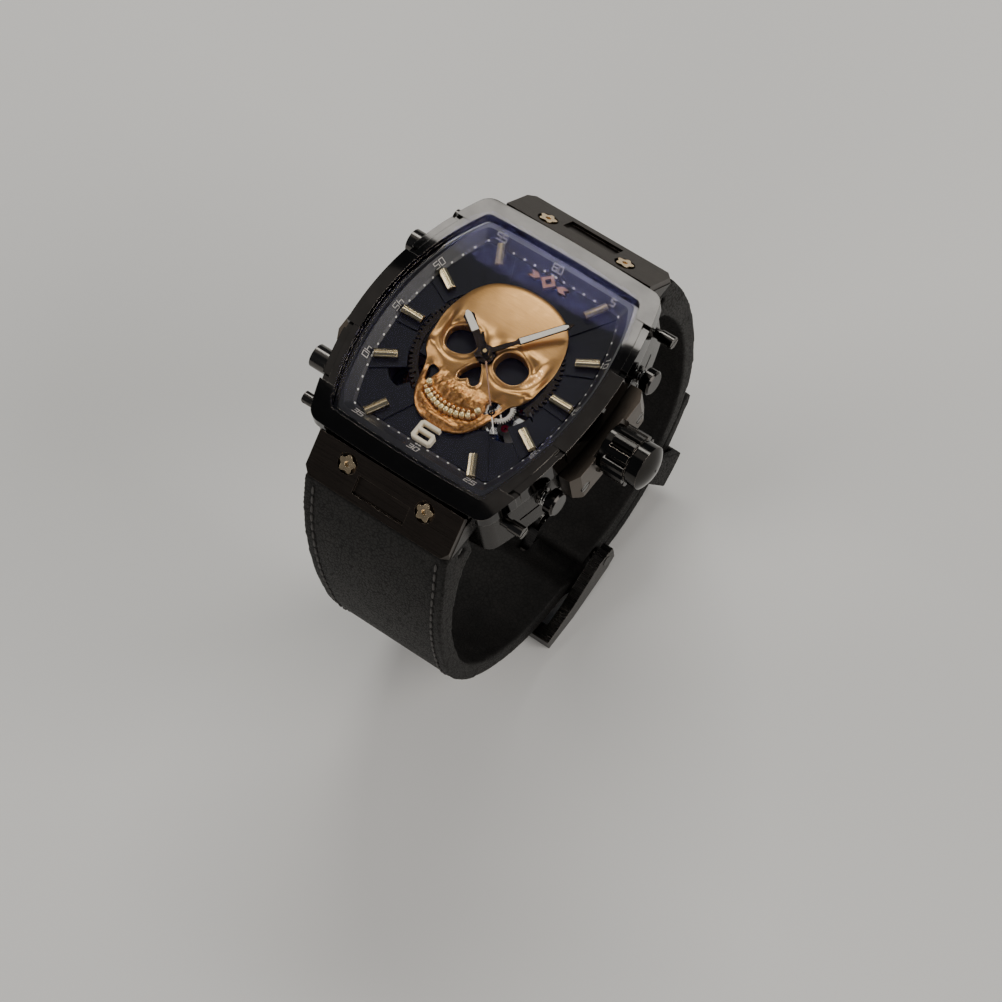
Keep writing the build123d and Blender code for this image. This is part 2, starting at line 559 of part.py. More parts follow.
# balance wheel, staff, roller
bw = ring(CB[0], CB[1], 5.15, 5.6, 4.1, 3.5) + bar2(pol(3.7, 30, CB), pol(-3.7, 30, CB), 0.5, 5.2, 5.45) + bar2(pol(3.7, 120, CB), pol(-3.7, 120, CB), 0.5, 5.2, 5.45)
for i in range(8):
    bw = bw + cyl(*pol(4.05, 15 + 45 * i, CB), 5.2, 5.5, 0.22)
bw = bw + cyl(CB[0], CB[1], 4.2, 6.6, 0.34) + cyl(CB[0], CB[1], 2.9, 7.6, 0.12) + cyl(CB[0], CB[1], 4.95, 5.2, 0.62)
save("balance_wheel", bw)

hs_pts = []
NT = 9
steps = 24 * NT
for i in range(steps + 1):
    r = 0.62 + (2.35 - 0.62) * i / steps
    hs_pts.append(pol(r, 360.0 * NT * i / steps, CB))
hi = [pol(math.hypot(p[0] - CB[0], p[1] - CB[1]) - 0.028, math.degrees(math.atan2(p[1] - CB[1], p[0] - CB[0])), CB) for p in hs_pts]
ho = [pol(math.hypot(p[0] - CB[0], p[1] - CB[1]) + 0.028, math.degrees(math.atan2(p[1] - CB[1], p[0] - CB[0])), CB) for p in hs_pts]
hair = xy(hi + ho[::-1], 6.05, 6.2) + ring(CB[0], CB[1], 6.0, 6.3, 0.66, 0.37)
hair = hair + box(CB[0] + 2.2, CB[0] + 2.55, CB[1] - 0.18, CB[1] + 0.18, 6.0, 6.35)
save("hairspring", hair)

# barrel drum turns on the arbor of the ratchet wheel
br = gear(NB, MB, CBR, ABR + 180.0, 4.5, 4.9, 0.36, 0.9) + cyl(CBR[0], CBR[1], 4.35, 5.38, NB * MB / 2 - 0.55) - cyl(CBR[0], CBR[1], 4, 6, 0.55)
br = br - ring(CBR[0], CBR[1], 5.3, 6, 4.6, 1.0) + ring(CBR[0], CBR[1], 5.25, 5.33, 2.6, 2.3)
save("barrel", br)
rw = gear(NR, MR, CBR, ACR, 2.46, 2.72) + cyl(CBR[0], CBR[1], 2.6, 7.6, 0.48)
rw = rw - ring(CBR[0], CBR[1], 2.3, 2.52, 2.2, 1.0) - box(CBR[0] - 0.55, CBR[0] + 0.55, CBR[1] - 0.07, CBR[1] + 0.07, 2.3, 2.6)
save("ratchet_wheel", rw)
xw = gear(NCR, MR, CR, ACR + 180.0 + 180.0 / NCR, 2.46, 2.72) + cyl(CR[0], CR[1], 2.6, 3.5, 0.46)
xw = xw - ring(CR[0], CR[1], 2.3, 2.52, 1.3, 0.7) - box(CR[0] - 0.55, CR[0] + 0.55, CR[1] - 0.07, CR[1] + 0.07, 2.3, 2.6)
save("crown_wheel", xw)

# motion works under the dial
mwh = gear(36, D2 / 24.0, CM, AM + 180.0 + 5.0, 9.0, 9.2) - windows(CM, 0.9, 2.3, 8.9, 9.3, 4, 0.5)
mwh = mwh + gear(10, D2 / 25.0, CM, AM + 180.0, 9.2, 9.62, 0.36, 0.8) + cyl(CM[0], CM[1], 8.0, 9.7, 0.26)
save("minute_wheel", mwh)
hw = gear(40, D2 / 25.0, C0, AM + 4.5, 9.36, 9.58) - windows(C0, 1.3, 2.4, 9, 10, 5, 0.5)
hw = hw + cyl(0, 0, 9.36, 12.49, 1.05) - cyl(0, 0, 9, 14, 0.7)
save("hour_wheel", hw)

# rotor on its bearing
rb = cyl(0, 0, 1.62, 2.30, 1.0) + cyl(0, 0, 2.28, 2.79, 1.5) - cyl(0, 0, 2.55, 3.4, 0.7)
rb = rb - box(-1.2, 1.2, -0.12, 0.12, 1.5, 1.75)
save("rotor_bearing", rb)
ro = (ring(0, 0, 1.72, 2.0, 13.9, 1.05) + ring(0, 0, 1.55, 2.25, 14.6, 12.3)) & box(-16, 16, -16, 0.0, 0, 4)
ro = ro + ring(0, 0, 1.72, 2.15, 2.4, 1.06)
for i in range(5):
    ro = ro - cyl(*pol(7.6, 200 + 35 * i), 1, 3, 1.35)
save("rotor", ro)

# movement ring
mr = (tonneau(T_RING, 2.6, 9.28) + tonneau((16.72, 18.42, 12.73, 18.12, 0.95), 9.2, 9.86)) - cyl(0, 0, 2, 8.82, MOVE_R + 0.03) - cyl(0, 0, 8, 11, 14.5)
mr = mr - cylx(14, 18, 0, STEM_Z, 0.95)
for sy in (1, -1):
    for sx in (1, -1):
        mr = mr - cylx(min(sx * 13.2, sx * 18), max(sx * 13.2, sx * 18), sy * PUSH_Y, PUSH_Z, 1.6)
        mr = mr - cylx(min(sx * 10.2, sx * 18), max(sx * 10.2, sx * 18), sy * SIDE_Y, SIDE_Z, 1.0)
for x, y in BSC:
    mr = mr - cyl(x, y, 2, 4.3, 0.6)
save("movement_ring", mr)

# ---------------------------------------------------------------- dial
OPEN_R = (8.5, -6.2)
dial = tonneau(T_DIAL, DIAL_Z0, DIAL_Z1) - cyl(0, 0, 9, 11, 1.3)
dial = dial - cyl(OPEN_R[0], OPEN_R[1], 9, 11, 3.4) - cyl(OPEN_L[0] - 0.2, OPEN_L[1], 9, 11, 3.1)
dial = dial - (ring(0, 0, 9, 11, 11.2, 9.2) & xy([(0, 0), pol(16, 150), pol(16, 196)], 9, 11))
PAN = 0.22                     # raised radial panels under the hour markers
inner = tonneau((15.0, 16.05, 11.5, 15.9, 0.9), DIAL_Z1 - 0.05, DIAL_Z1 + PAN) - cyl(0, 0, 9, 12, 11.5)
for hr in (1, 2, 3, 4, 5, 7, 8, 9, 10, 11):
    a = 90.0 - 30.0 * hr
    d = (math.cos(math.radians(a)), math.sin(math.radians(a)))
    q = [(d[0] * r - d[1] * t, d[1] * r + d[0] * t) for r, t in ((11.0, -1.7), (22.0, -2.6), (22.0, 2.6), (11.0, 1.7))]
    dial = dial + (xy(q, DIAL_Z1 - 0.1, DIAL_Z1 + PAN + 0.1) & inner)
save("dial_plate", dial)

orn = xy(gear_pts(84, 22.2 / 84, C0, 0.0, 0.5, 0.8), 10.32, 10.62) - cyl(0, 0, 10, 11, 9.9)
for a in range(0, 360, 30):
    orn = orn - cyl(*pol(10.5, a + 15), 10, 11, 0.22)
orn = orn - cyl(OPEN_R[0], OPEN_R[1], 9, 11, 2.6)
save("ornament_ring", orn)

R_MK = {1: 17.2, 5: 17.2, 7: 17.2, 11: 17.2, 2: 14.6, 4: 14.6, 8: 14.6, 10: 14.6, 3: 13.3, 9: 13.3}
mk = Part()
lm = Part()
for hr, r in R_MK.items():
    a = 90.0 - 30.0 * hr
    L = 3.6
    r0, r1 = r - L / 2, r + L / 2
    b = box(r0, r1, -0.66, 0.66, DIAL_Z1 + PAN + 0.01, MARK_Z)
    b = P(chamfer(b.faces().sort_by(Axis.Z)[-1].edges(), 0.2))
    b = b - box(r0 + 0.42, r1 - 0.42, -0.3, 0.3, MARK_Z - 0.25, MARK_Z + 1)
    l = box(r0 + 0.44, r1 - 0.44, -0.28, 0.28, MARK_Z - 0.24, MARK_Z + 0.03)
    loc = Location((0, 0, 0), (0, 0, a))
    mk = mk + P(loc * b)
    lm = lm + P(loc * l)
save("hour_markers", mk)
save("marker_lume", lm)

# squared 6
sw, sh, stt = 3.4, 3.15, 0.56
X0, Y0 = -sw / 2, -16.05
six = [(X0 + 0.35, Y0), (X0 + sw - 0.35, Y0), (X0 + sw, Y0 + 0.35), (X0 + sw, Y0 + 1.6), (X0 + sw - 0.35, Y0 + 1.95), (X0 + stt, Y0 + 1.95), (X0 + stt, Y0 + sh - stt - 0.1),
       (X0 + stt + 0.1, Y0 + sh - stt), (X0 + sw - 0.15, Y0 + sh - stt), (X0 + sw - 0.15, Y0 + sh), (X0 + 0.4, Y0 + sh), (X0, Y0 + sh - 0.4), (X0, Y0 + 0.35)]
n6 = xy(six, DIAL_Z1 + 0.01, 11.35) - box(X0 + stt, X0 + sw - stt, Y0 + stt, Y0 + 1.95 - stt, 10, 12)
n6 = P(chamfer(n6.faces().sort_by(Axis.Z)[-1].edges(), 0.12))
save("numeral_six", n6)

# ornament at 12: open lozenge with two leaf shapes
em = xy([(-1.3, 15.0), (0, 13.75), (1.3, 15.0), (0, 16.25)], 10.31, 11.1) - xy([(-0.62, 15.0), (0, 14.4), (0.62, 15.0), (0, 15.6)], 10, 12)
for sx in (1, -1):
    em = em + xy([(sx * 1.5, 15.0), (sx * 2.2, 14.45), (sx * 3.3, 14.55), (sx * 2.6, 15.0), (sx * 3.3, 15.45), (sx * 2.2, 15.55)], 10.31, 10.95)
save("ornament_12", em)

# ---------------------------------------------------------------- skull relief
half = [(2.5, 12.3), (4.9, 11.55), (6.8, 10.4), (8.2, 8.6), (9.1, 6.4), (9.6, 4.0), (9.65, 2.0), (9.4, 0.0), (9.2, -1.8), (8.5, -3.3), (7.4, -4.5),
        (6.75, -6.2), (6.35, -7.8), (5.7, -9.6), (4.6, -11.2), (3.1, -12.3), (1.2, -12.8)]
sp_pts = [(0, 12.5)] + half + [(-x, y) for x, y in half[::-1]]
e = Spline(*[(x, y, 0) for x, y in sp_pts], periodic=True)
sk_face = Face(Wire(e.edges()))
sk = P(Solid.extrude(sk_face.moved(Location((0, 0, 10.8))), Vector(0, 0, 2)))


def ellipsoid(c, r):
    return P(Location(c) * scale(Sphere(1.0), by=r))


def ell_hole(c, rx, ry, ang, z0, z1):
    f = Ellipse(rx, ry)
    return P(Location((c[0], c[1], z0), (0, 0, ang)) * extrude(f, z1 - z0))


dome = ellipsoid((0, 2.6, 9.6), (12.0, 14.5, 2.58))
jaw = ellipsoid((0, -8.2, 10.0), (8.2, 7.6, 2.1))
sk = sk & (dome + jaw)
brow = ellipsoid((4.3, 3.2, 11.2), (4.0, 1.5, 0.92)) + ellipsoid((-4.3, 3.2, 11.2), (4.0, 1.5, 0.92))
cheek = ellipsoid((6.6, -3.0, 11.0), (2.4, 1.8, 0.95)) + ellipsoid((-6.6, -3.0, 11.0), (2.4, 1.8, 0.95))
full = P(Solid.extrude(sk_face.moved(Location((0, 0, 10.8))), Vector(0, 0, 2)))
sk = sk + ((brow + cheek) & full)
for sx in (1, -1):
    sk = sk - ell_hole((sx * 4.35, 0.25), 2.45, 2.15, sx * -12, 10, 13)
    sk = sk - xy([(sx * 0.14, -1.5), (sx * 0.75, -2.4), (sx * 1.55, -4.1), (sx * 1.2, -4.8), (sx * 0.35, -4.35)], 10, 13)
    sk = sk - xy([(sx * 4.5, -5.6), (sx * 6.0, -4.9), (sx * 6.3, -5.6), (sx * 5.4, -7.4), (sx * 4.9, -7.6), (sx * 4.7, -6.6)], 10, 13)
sk = sk - cyl(0, 0, 9, 14, 1.3)
# groove between the rows of teeth
sk = sk - xy([(-4.6, -7.0), (-3.0, -8.5), (0, -9.15), (3.0, -8.5), (4.6, -7.0), (4.7, -8.6), (3.2, -9.9), (0, -10.6), (-3.2, -9.9), (-4.7, -8.6)], 11.35, 13)
for x, y in ((5.8, 6.2), (-5.8, 6.2), (2.4, -8.8), (-2.4, -8.8)):
    sk = sk + cyl(x, y, DIAL_Z1 + 0.01, 11.0, 0.55)

th = Part()
for row, (yb, rr) in enumerate(((-7.55, 0.0), (-8.75, 0.0))):
    for i in range(-4, 4):
        x = (i + 0.5) * 0.98
        y = yb - 0.75 + 0.085 * x * x
        th = th + (box(x - 0.43, x + 0.43, y - 0.5, y + 0.5, 11.36, 12.12))
save("skull", sk + th)

# ---------------------------------------------------------------- hands
def along(points, ang, z0, z1):
    c, s = math.cos(math.radians(ang)), math.sin(math.radians(ang))
    return xy([(x * c - y * s, x * s + y * c) for x, y in points], z0, z1)


HZ, MZ, SZ = 12.27, 12.66, 13.06
hh = along([(-1.0, -0.6), (1.2, -0.75), (3.6, -0.55), (6.9, -0.85), (7.8, 0.0), (6.9, 0.85), (3.6, 0.55), (1.2, 0.75), (-1.0, 0.6)], HOUR_ANG, HZ, HZ + 0.2)
hh = hh + cyl(0, 0, HZ, HZ + 0.2, 1.42) - cyl(0, 0, 12, 14, 1.06)
hh = hh - along([(4.1, -0.32), (6.7, -0.55), (7.2, 0.0), (6.7, 0.55), (4.1, 0.32)], HOUR_ANG, 12, 13)
save("hour_hand", hh)
save("hour_hand_lume", along([(4.13, -0.29), (6.68, -0.52), (7.16, 0.0), (6.68, 0.52), (4.13, 0.29)], HOUR_ANG, HZ + 0.02, HZ + 0.22))
mh = along([(-1.6, -0.4), (2.0, -0.4), (4.7, -0.3), (5.1, -0.55), (12.3, -0.5), (13.3, -0.05), (13.3, 0.05), (12.3, 0.5), (5.1, 0.55), (4.7, 0.3), (2.0, 0.4), (-1.6, 0.4)], MIN_ANG, MZ, MZ + 0.2)
mh = mh + cyl(0, 0, MZ, MZ + 0.2, 0.98) - cyl(0, 0, 12, 14, 0.63)
mh = mh - along([(5.4, -0.4), (12.0, -0.37), (12.5, 0.0), (12.0, 0.37), (5.4, 0.4)], MIN_ANG, 12, 14)
save("minute_hand", mh)
save("minute_hand_lume", along([(5.43, -0.37), (11.98, -0.34), (12.44, 0.0), (11.98, 0.34), (5.43, 0.37)], MIN_ANG, MZ + 0.02, MZ + 0.22))
sh2 = along([(-3.2, -0.22), (-1.0, -0.14), (13.4, -0.08), (13.4, 0.08), (-1.0, 0.14), (-3.2, 0.22)], SEC_ANG, SZ, SZ + 0.14)
sh2 = sh2 + cyl(0, 0, SZ, SZ + 0.24, 0.6) - cyl(0, 0, 12, SZ + 0.5, 0.3)
sh2 = sh2 + (ring(*pol(9.9, SEC_ANG), SZ, SZ + 0.14, 0.55, 0.32))
save("second_hand", sh2)

# ---------------------------------------------------------------- strap
CY, CZ = 6.0, -23.0            # centre of the lower bends
RO, RI = 26.0, 23.0            # outer and inner bend of the strap
TAIL_I, TAIL_O = 26.12, 28.5


def arcp(r, a, sy):
    return (sy * (CY + r * math.cos(math.radians(a))), CZ + r * math.sin(math.radians(a)))


def yzface(edges):
    f = Face(Wire(edges))
    return f


def yzp(p):
    return (0, p[0], p[1])


def line(a, b):
    return Line(yzp(a), yzp(b)).edges()[0]


def arc(a, m, b):
    return ThreePointArc(yzp(a), yzp(m), yzp(b)).edges()[0]


def ext_yz(edges, x0, x1):
    f = Face(Wire(edges))
    s = Solid.extrude(f.moved(Location((x0, 0, 0))), Vector(x1 - x0, 0, 0))
    return P(s)


def taper(s):
    t = prism([(-HALF_STRAP, -60, 8), (-HALF_STRAP, -60, -2), (-STRAP_LOW, -60, -44), (-STRAP_LOW, -60, -60),
               (STRAP_LOW, -60, -60), (STRAP_LOW, -60, -44), (HALF_STRAP, -60, -2), (HALF_STRAP, -60, 8)], (0, 120, 0))
    return s & P(t)


EO = (27.5, 5.72)              # outer start, under the lower edge of the hood
EI = (22.4, 1.3)


def strap_side(sy, end_edges):
    # end_edges: builds the low end, from outer (sy*CY, CZ-RO) to inner (sy*CY, CZ-RI)
    o0, o1 = (sy * EO[0], EO[1]), arcp(RO, 0, sy)
    i0, i1 = (sy * 24.6, -0.6), arcp(RI, 0, sy)
    ed = [arc(o0, (sy * 31.2, -7.5), o1), arc(o1, arcp(RO, -45, sy), arcp(RO, -90, sy))]
    ed += end_edges
    ed += [arc(arcp(RI, -90, sy), arcp(RI, -45, sy), i1), arc(i1, (sy * 28.2, -9.5), i0)]
    top = [(sy * 22.4, 0.9), (sy * 22.4, 5.72)]
    ed += [line(i0, top[0]), line(top[0], top[1]), line(top[1], o0)]
    return ed


def notch(sy):
    # room for the tenon of the case
    return box(-8.47, 8.47, min(sy * 20, sy * 26.75), max(sy * 20, sy * 26.75), 0.2, 7) - \
        (yz([(sy * 24.7, 1.3), (sy * 27.2, 3.2), (sy * 27.2, 0), (sy * 24.7, 0)], -9, 9))


# half at 12: ends in a loop round the buckle bar
BAR = (3.6, -47.5)
fo, fi = (CY, CZ - RO), (CY, CZ - RI)
end12 = [line(fo, (2.3, fo[1])), arc((2.3, fo[1]), (0.8, -47.5), (2.3, fi[1])), line((2.3, fi[1]), fi)]
s12 = ext_yz(strap_side(1, end12), -HALF_STRAP, HALF_STRAP)
s12 = taper(s12) - notch(1)
s12 = s12 - cylx(-12, 12, BAR[0], BAR[1], 0.93) - box(-1.35, 1.35, -2, 5.4, -50, -45)
s12 = s12 - cylx(-15, 15, 24.3, 3.7, 0.83)
save("strap_12", s12)

# half at 6: runs on to the tail outside the other half
TI, TO = CZ - TAIL_I, CZ - TAIL_O
tail_end_a = -28.0
end6 = [
    Spline(yzp((-CY, CZ - RO)), yzp((-3.4, -50.2)), yzp((-0.6, TO)), tangents=[(0, 1, 0), (0, 1, 0)]).edges()[0],
    line((-0.6, TO), (CY, TO)),
    arc((CY, TO), arcp(TAIL_O, -60, 1), arcp(TAIL_O, tail_end_a - 3, 1)),
    arc(arcp(TAIL_O, tail_end_a - 3, 1), arcp((TAIL_I + TAIL_O) / 2, tail_end_a, 1), arcp(TAIL_I, tail_end_a - 3, 1)),
    arc(arcp(TAIL_I, tail_end_a - 3, 1), arcp(TAIL_I, -60, 1), (CY, TI)),
    line((CY, TI), (0.4, TI)),
    Spline(yzp((0.4, TI)), yzp((-2.8, -47.55)), yzp((-CY, CZ - RI)), tangents=[(0, -1, 0), (0, -1, 0)]).edges()[0],
]
s6 = ext_yz(strap_side(-1, end6), -HALF_STRAP, HALF_STRAP)
s6 = taper(s6) - notch(-1)
# slot for the tongue and a row of holes in the tail
s6 = s6 - box(-1.0, 1.0, -5.3, 4.4, -53, -48.5)
for a in (-82, -70, -46, -36):
    p = arcp((TAIL_I + TAIL_O) / 2, a, 1)
    q = P(Solid.make_cylinder(1.0, 5, Plane(origin=(0, p[0] - 2.5 * math.cos(math.radians(a)), p[1] - 2.5 * math.sin(math.radians(a))), z_dir=(0, math.cos(math.radians(a)), math.sin(math.radians(a))))))
    s6 = s6 - q
s6 = s6 - cylx(-15, 15, -24.3, 3.7, 0.83)
save("strap_6", s6)

pn = Part()
for sy in (1, -1):
    pn = pn + cylx(-12.5, 12.5, sy * 24.3, 3.7, 0.76)

# buckle: bar, frame, tongue
save("strap_bars", pn + cylx(-13.3, 13.3, BAR[0], BAR[1], 0.85))
FY0, FY1 = -12.4, -9.9
frame = box(-13.2, 13.2, FY0, FY1, -51.5, -49.6)
side_p = [(BAR[0] + 1.9, -48.9), (BAR[0] + 1.9, -46.2), (BAR[0] - 1.6, -46.0), (-6, -48.6), (FY0, -49.6), (FY0, -51.5), (-6, -51.5), (BAR[0], -49.8)]
arm = yz(side_p, 11.35, 13.2)
frame = frame + arm + mirror_x(arm)
frame = frame - cylx(-15, 15, BAR[0], BAR[1], 0.87)
frame = frame - box(-1.2, 1.2, FY0 - 1, FY1 + 1, -52, -50.55)
save("buckle_frame", frame)

tg = ring(0, 0, 0, 1, 1.75, 0.93)
tg = P(Solid.make_cylinder(1.7, 1.7, Plane(origin=(-0.85, BAR[0], BAR[1]), z_dir=(1, 0, 0)))) + yz([(BAR[0] - 0.2, -49.0), (BAR[0] - 1.3, -48.6), (-1.0, -50.5), (FY0 - 0.5, -50.62), (FY0 - 0.5, -51.3), (-1.2, -51.4), (1.6, -50.9)], -0.85, 0.85)
tg = tg - cylx(-2, 2, BAR[0], BAR[1], 0.93)
save("buckle_tongue", tg)

# keeper round both layers
def sector(r0, r1, a0, a1, x0, x1):
    e = [arc(arcp(r0, a0, 1), arcp(r0, (a0 + a1) / 2, 1), arcp(r0, a1, 1)), line(arcp(r0, a1, 1), arcp(r1, a1, 1)),
         arc(arcp(r1, a1, 1), arcp(r1, (a0 + a1) / 2, 1), arcp(r1, a0, 1)), line(arcp(r1, a0, 1), arcp(r0, a0, 1))]
    return ext_yz(e, x0, x1)


kp = sector(RI - 1.1, TAIL_O + 1.1, -62, -50, -12.6, 12.6) - sector(RI - 0.05, TAIL_O + 0.05, -70, -40, -11.25, 11.25)
save("strap_keeper", kp)
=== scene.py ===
import json
import math

import bmesh
import bpy
import numpy as np
from mathutils import Matrix, Vector
from mathutils.bvhtree import BVHTree

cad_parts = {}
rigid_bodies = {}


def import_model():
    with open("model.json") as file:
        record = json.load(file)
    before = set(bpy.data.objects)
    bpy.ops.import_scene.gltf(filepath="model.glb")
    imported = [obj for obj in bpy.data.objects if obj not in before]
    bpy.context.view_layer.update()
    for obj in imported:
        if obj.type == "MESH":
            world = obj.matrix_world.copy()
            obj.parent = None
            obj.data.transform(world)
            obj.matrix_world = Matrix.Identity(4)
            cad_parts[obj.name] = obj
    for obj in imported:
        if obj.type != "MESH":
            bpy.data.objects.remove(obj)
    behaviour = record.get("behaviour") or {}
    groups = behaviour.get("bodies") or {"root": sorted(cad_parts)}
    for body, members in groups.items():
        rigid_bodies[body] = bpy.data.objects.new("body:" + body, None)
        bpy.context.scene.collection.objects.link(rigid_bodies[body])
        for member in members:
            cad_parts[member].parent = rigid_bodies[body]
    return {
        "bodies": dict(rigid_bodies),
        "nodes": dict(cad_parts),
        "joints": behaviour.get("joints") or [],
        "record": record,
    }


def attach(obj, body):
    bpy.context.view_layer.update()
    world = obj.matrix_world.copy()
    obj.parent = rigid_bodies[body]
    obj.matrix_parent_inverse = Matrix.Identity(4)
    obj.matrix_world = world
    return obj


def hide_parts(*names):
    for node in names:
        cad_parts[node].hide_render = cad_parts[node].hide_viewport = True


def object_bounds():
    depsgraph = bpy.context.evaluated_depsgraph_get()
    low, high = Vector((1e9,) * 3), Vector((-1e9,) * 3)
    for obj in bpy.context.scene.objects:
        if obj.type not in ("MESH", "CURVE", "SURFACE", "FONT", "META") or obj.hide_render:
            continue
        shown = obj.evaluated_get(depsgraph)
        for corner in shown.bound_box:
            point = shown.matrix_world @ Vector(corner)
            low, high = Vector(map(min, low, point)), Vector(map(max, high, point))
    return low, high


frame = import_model()
CAD_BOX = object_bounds()
NODES = frame["nodes"]
MM = 0.001
rng = np.random.default_rng(7)


# ------------------------------------------------------------------ node materials
class Mat:
    """A Principled material with small helpers. Texture space is millimetres of the object."""

    def __init__(self, name, colour, rough, metal=0.0, coat=0.0, coat_rough=0.05, spec=0.5, ior=1.5, bevel=0.06, aniso=0.0):
        m = bpy.data.materials.new(name)
        m.use_nodes = True
        self.m, self.t = m, m.node_tree
        self.n, self.l = self.t.nodes, self.t.links
        self.p = self.n["Principled BSDF"]
        self.colour = colour
        self.set("Base Color", (*colour, 1))
        self.set("Roughness", rough)
        self.set("Metallic", metal)
        self.set("IOR", ior)
        self.set("Specular IOR Level", spec)
        if coat:
            self.set("Coat Weight", coat)
            self.set("Coat Roughness", coat_rough)
        if aniso:
            self.set("Anisotropic", aniso)
        tc = self.n.new("ShaderNodeTexCoord")
        self.mm = self.mapped(tc.outputs["Object"], (1000, 1000, 1000))
        self.normal = None
        self.edge = None
        if bevel:
            b = self.n.new("ShaderNodeBevel")
            b.samples = 4
            b.inputs["Radius"].default_value = bevel * MM
            self.normal = b.outputs["Normal"]
            self.l.new(self.normal, self.p.inputs["Normal"])
            g = self.n.new("ShaderNodeNewGeometry")
            d = self.n.new("ShaderNodeVectorMath")
            d.operation = "DOT_PRODUCT"
            self.l.new(b.outputs["Normal"], d.inputs[0])
            self.l.new(g.outputs["Normal"], d.inputs[1])
            self.edge = d.outputs["Value"]

    def set(self, k, v):
        self.p.inputs[k].default_value = v

    def mapped(self, src, scale=(1, 1, 1), rot=(0, 0, 0), loc=(0, 0, 0)):
        mp = self.n.new("ShaderNodeMapping")
        mp.inputs["Scale"].default_value = scale
        mp.inputs["Rotation"].default_value = rot
        mp.inputs["Location"].default_value = loc
        self.l.new(src, mp.inputs["Vector"])
        return mp.outputs["Vector"]

    def noise(self, scale=1.0, stretch=(1, 1, 1), detail=3.0, rough=0.55, vec=None, distort=0.0):
        nz = self.n.new("ShaderNodeTexNoise")
        nz.inputs["Scale"].default_value = scale
        nz.inputs["Detail"].default_value = detail
        nz.inputs["Roughness"].default_value = rough
        nz.inputs["Distortion"].default_value = distort
        self.l.new(self.mapped(vec or self.mm, stretch), nz.inputs["Vector"])
        return nz.outputs["Fac"]

    def voronoi(self, scale=1.0, stretch=(1, 1, 1), feature="F1", vec=None, out="Distance"):
        v = self.n.new("ShaderNodeTexVoronoi")
        v.feature = feature
        v.inputs["Scale"].default_value = scale
        self.l.new(self.mapped(vec or self.mm, stretch), v.inputs["Vector"])
        return v.outputs[out]

    def ramp(self, fac, stops, mode="LINEAR"):
        r = self.n.new("ShaderNodeValToRGB")
        r.color_ramp.interpolation = mode
        e = r.color_ramp.elements
        while len(e) < len(stops):
            e.new(0.5)
        for el, (pos, c) in zip(e, stops):
            el.position = pos
            el.color = (*c, 1) if len(c) == 3 else c
        self.l.new(fac, r.inputs["Fac"])
        return r.outputs["Color"]

    def range(self, src, a, b, c, d, clamp=True):
        r = self.n.new("ShaderNodeMapRange")
        r.clamp = clamp
        for k, v in (("From Min", a), ("From Max", b), ("To Min", c), ("To Max", d)):
            r.inputs[k].default_value = v
        self.l.new(src, r.inputs["Value"])
        return r.outputs["Result"]

    def math(self, op, a, b=None, c=None):
        r = self.n.new("ShaderNodeMath")
        r.operation = op
        for i, v in enumerate((a, b, c)):
            if v is None:
                continue
            if isinstance(v, (int, float)):
                r.inputs[i].default_value = v
            else:
                self.l.new(v, r.inputs[i])
        return r.outputs[0]

    def mix(self, fac, a, b):
        x = self.n.new("ShaderNodeMix")
        x.data_type = "RGBA"
        if isinstance(fac, (int, float)):
            x.inputs[0].default_value = fac
        else:
            self.l.new(fac, x.inputs[0])
        for i, v in ((6, a), (7, b)):
            if isinstance(v, tuple):
                x.inputs[i].default_value = (*v, 1) if len(v) == 3 else v
            else:
                self.l.new(v, x.inputs[i])
        return x.outputs[2]

    def link(self, src, key):
        self.l.new(src, self.p.inputs[key])

    def bump(self, height, strength=0.3, dist=0.02):
        b = self.n.new("ShaderNodeBump")
        b.inputs["Strength"].default_value = strength
        b.inputs["Distance"].default_value = dist * MM
        self.l.new(height, b.inputs["Height"])
        if self.normal is not None:
            self.l.new(self.normal, b.inputs["Normal"])
        self.normal = b.outputs["Normal"]
        self.l.new(self.normal, self.p.inputs["Normal"])

    def worn(self, base, edge, amount=0.5, width=0.06):
        """Colour with lighter convex edges: a painted highlight along the edges, made patchy by noise."""
        if self.edge is None:
            return base
        f = self.range(self.edge, 0.995, 0.90, 0.0, amount)
        f = self.math("MULTIPLY", f, self.range(self.noise(0.8, detail=4), 0.35, 0.7, 0.25, 1.0))
        return self.mix(f, base, edge)

    def xyz(self):
        s = self.n.new("ShaderNodeSeparateXYZ")
        self.l.new(self.mm, s.inputs[0])
        return s.outputs


def tint(c, k):
    return tuple(max(0.0, min(1.0, x * k)) for x in c)


def polished(name, colour, rough=0.1, metal=1.0, coat=0.0, var=0.12, fine=0.06, bevel=0.07, edge=None):
    a = Mat(name, colour, rough, metal, coat=coat, bevel=bevel)
    big = a.noise(0.35, detail=4)
    base = a.ramp(big, [(0.3, tint(colour, 1 - var)), (0.7, tint(colour, 1 + var))])
    # painted highlight: convex edges lightened towards the edge colour
    if edge:
        base = a.worn(base, edge, 0.6)
    a.link(base, "Base Color")
    a.link(a.range(a.noise(1.2, detail=5, rough=0.6), 0.3, 0.75, rough * 0.85, rough + fine), "Roughness")
    a.bump(a.noise(6.0, detail=2), 0.02, 0.004)
    return a.m


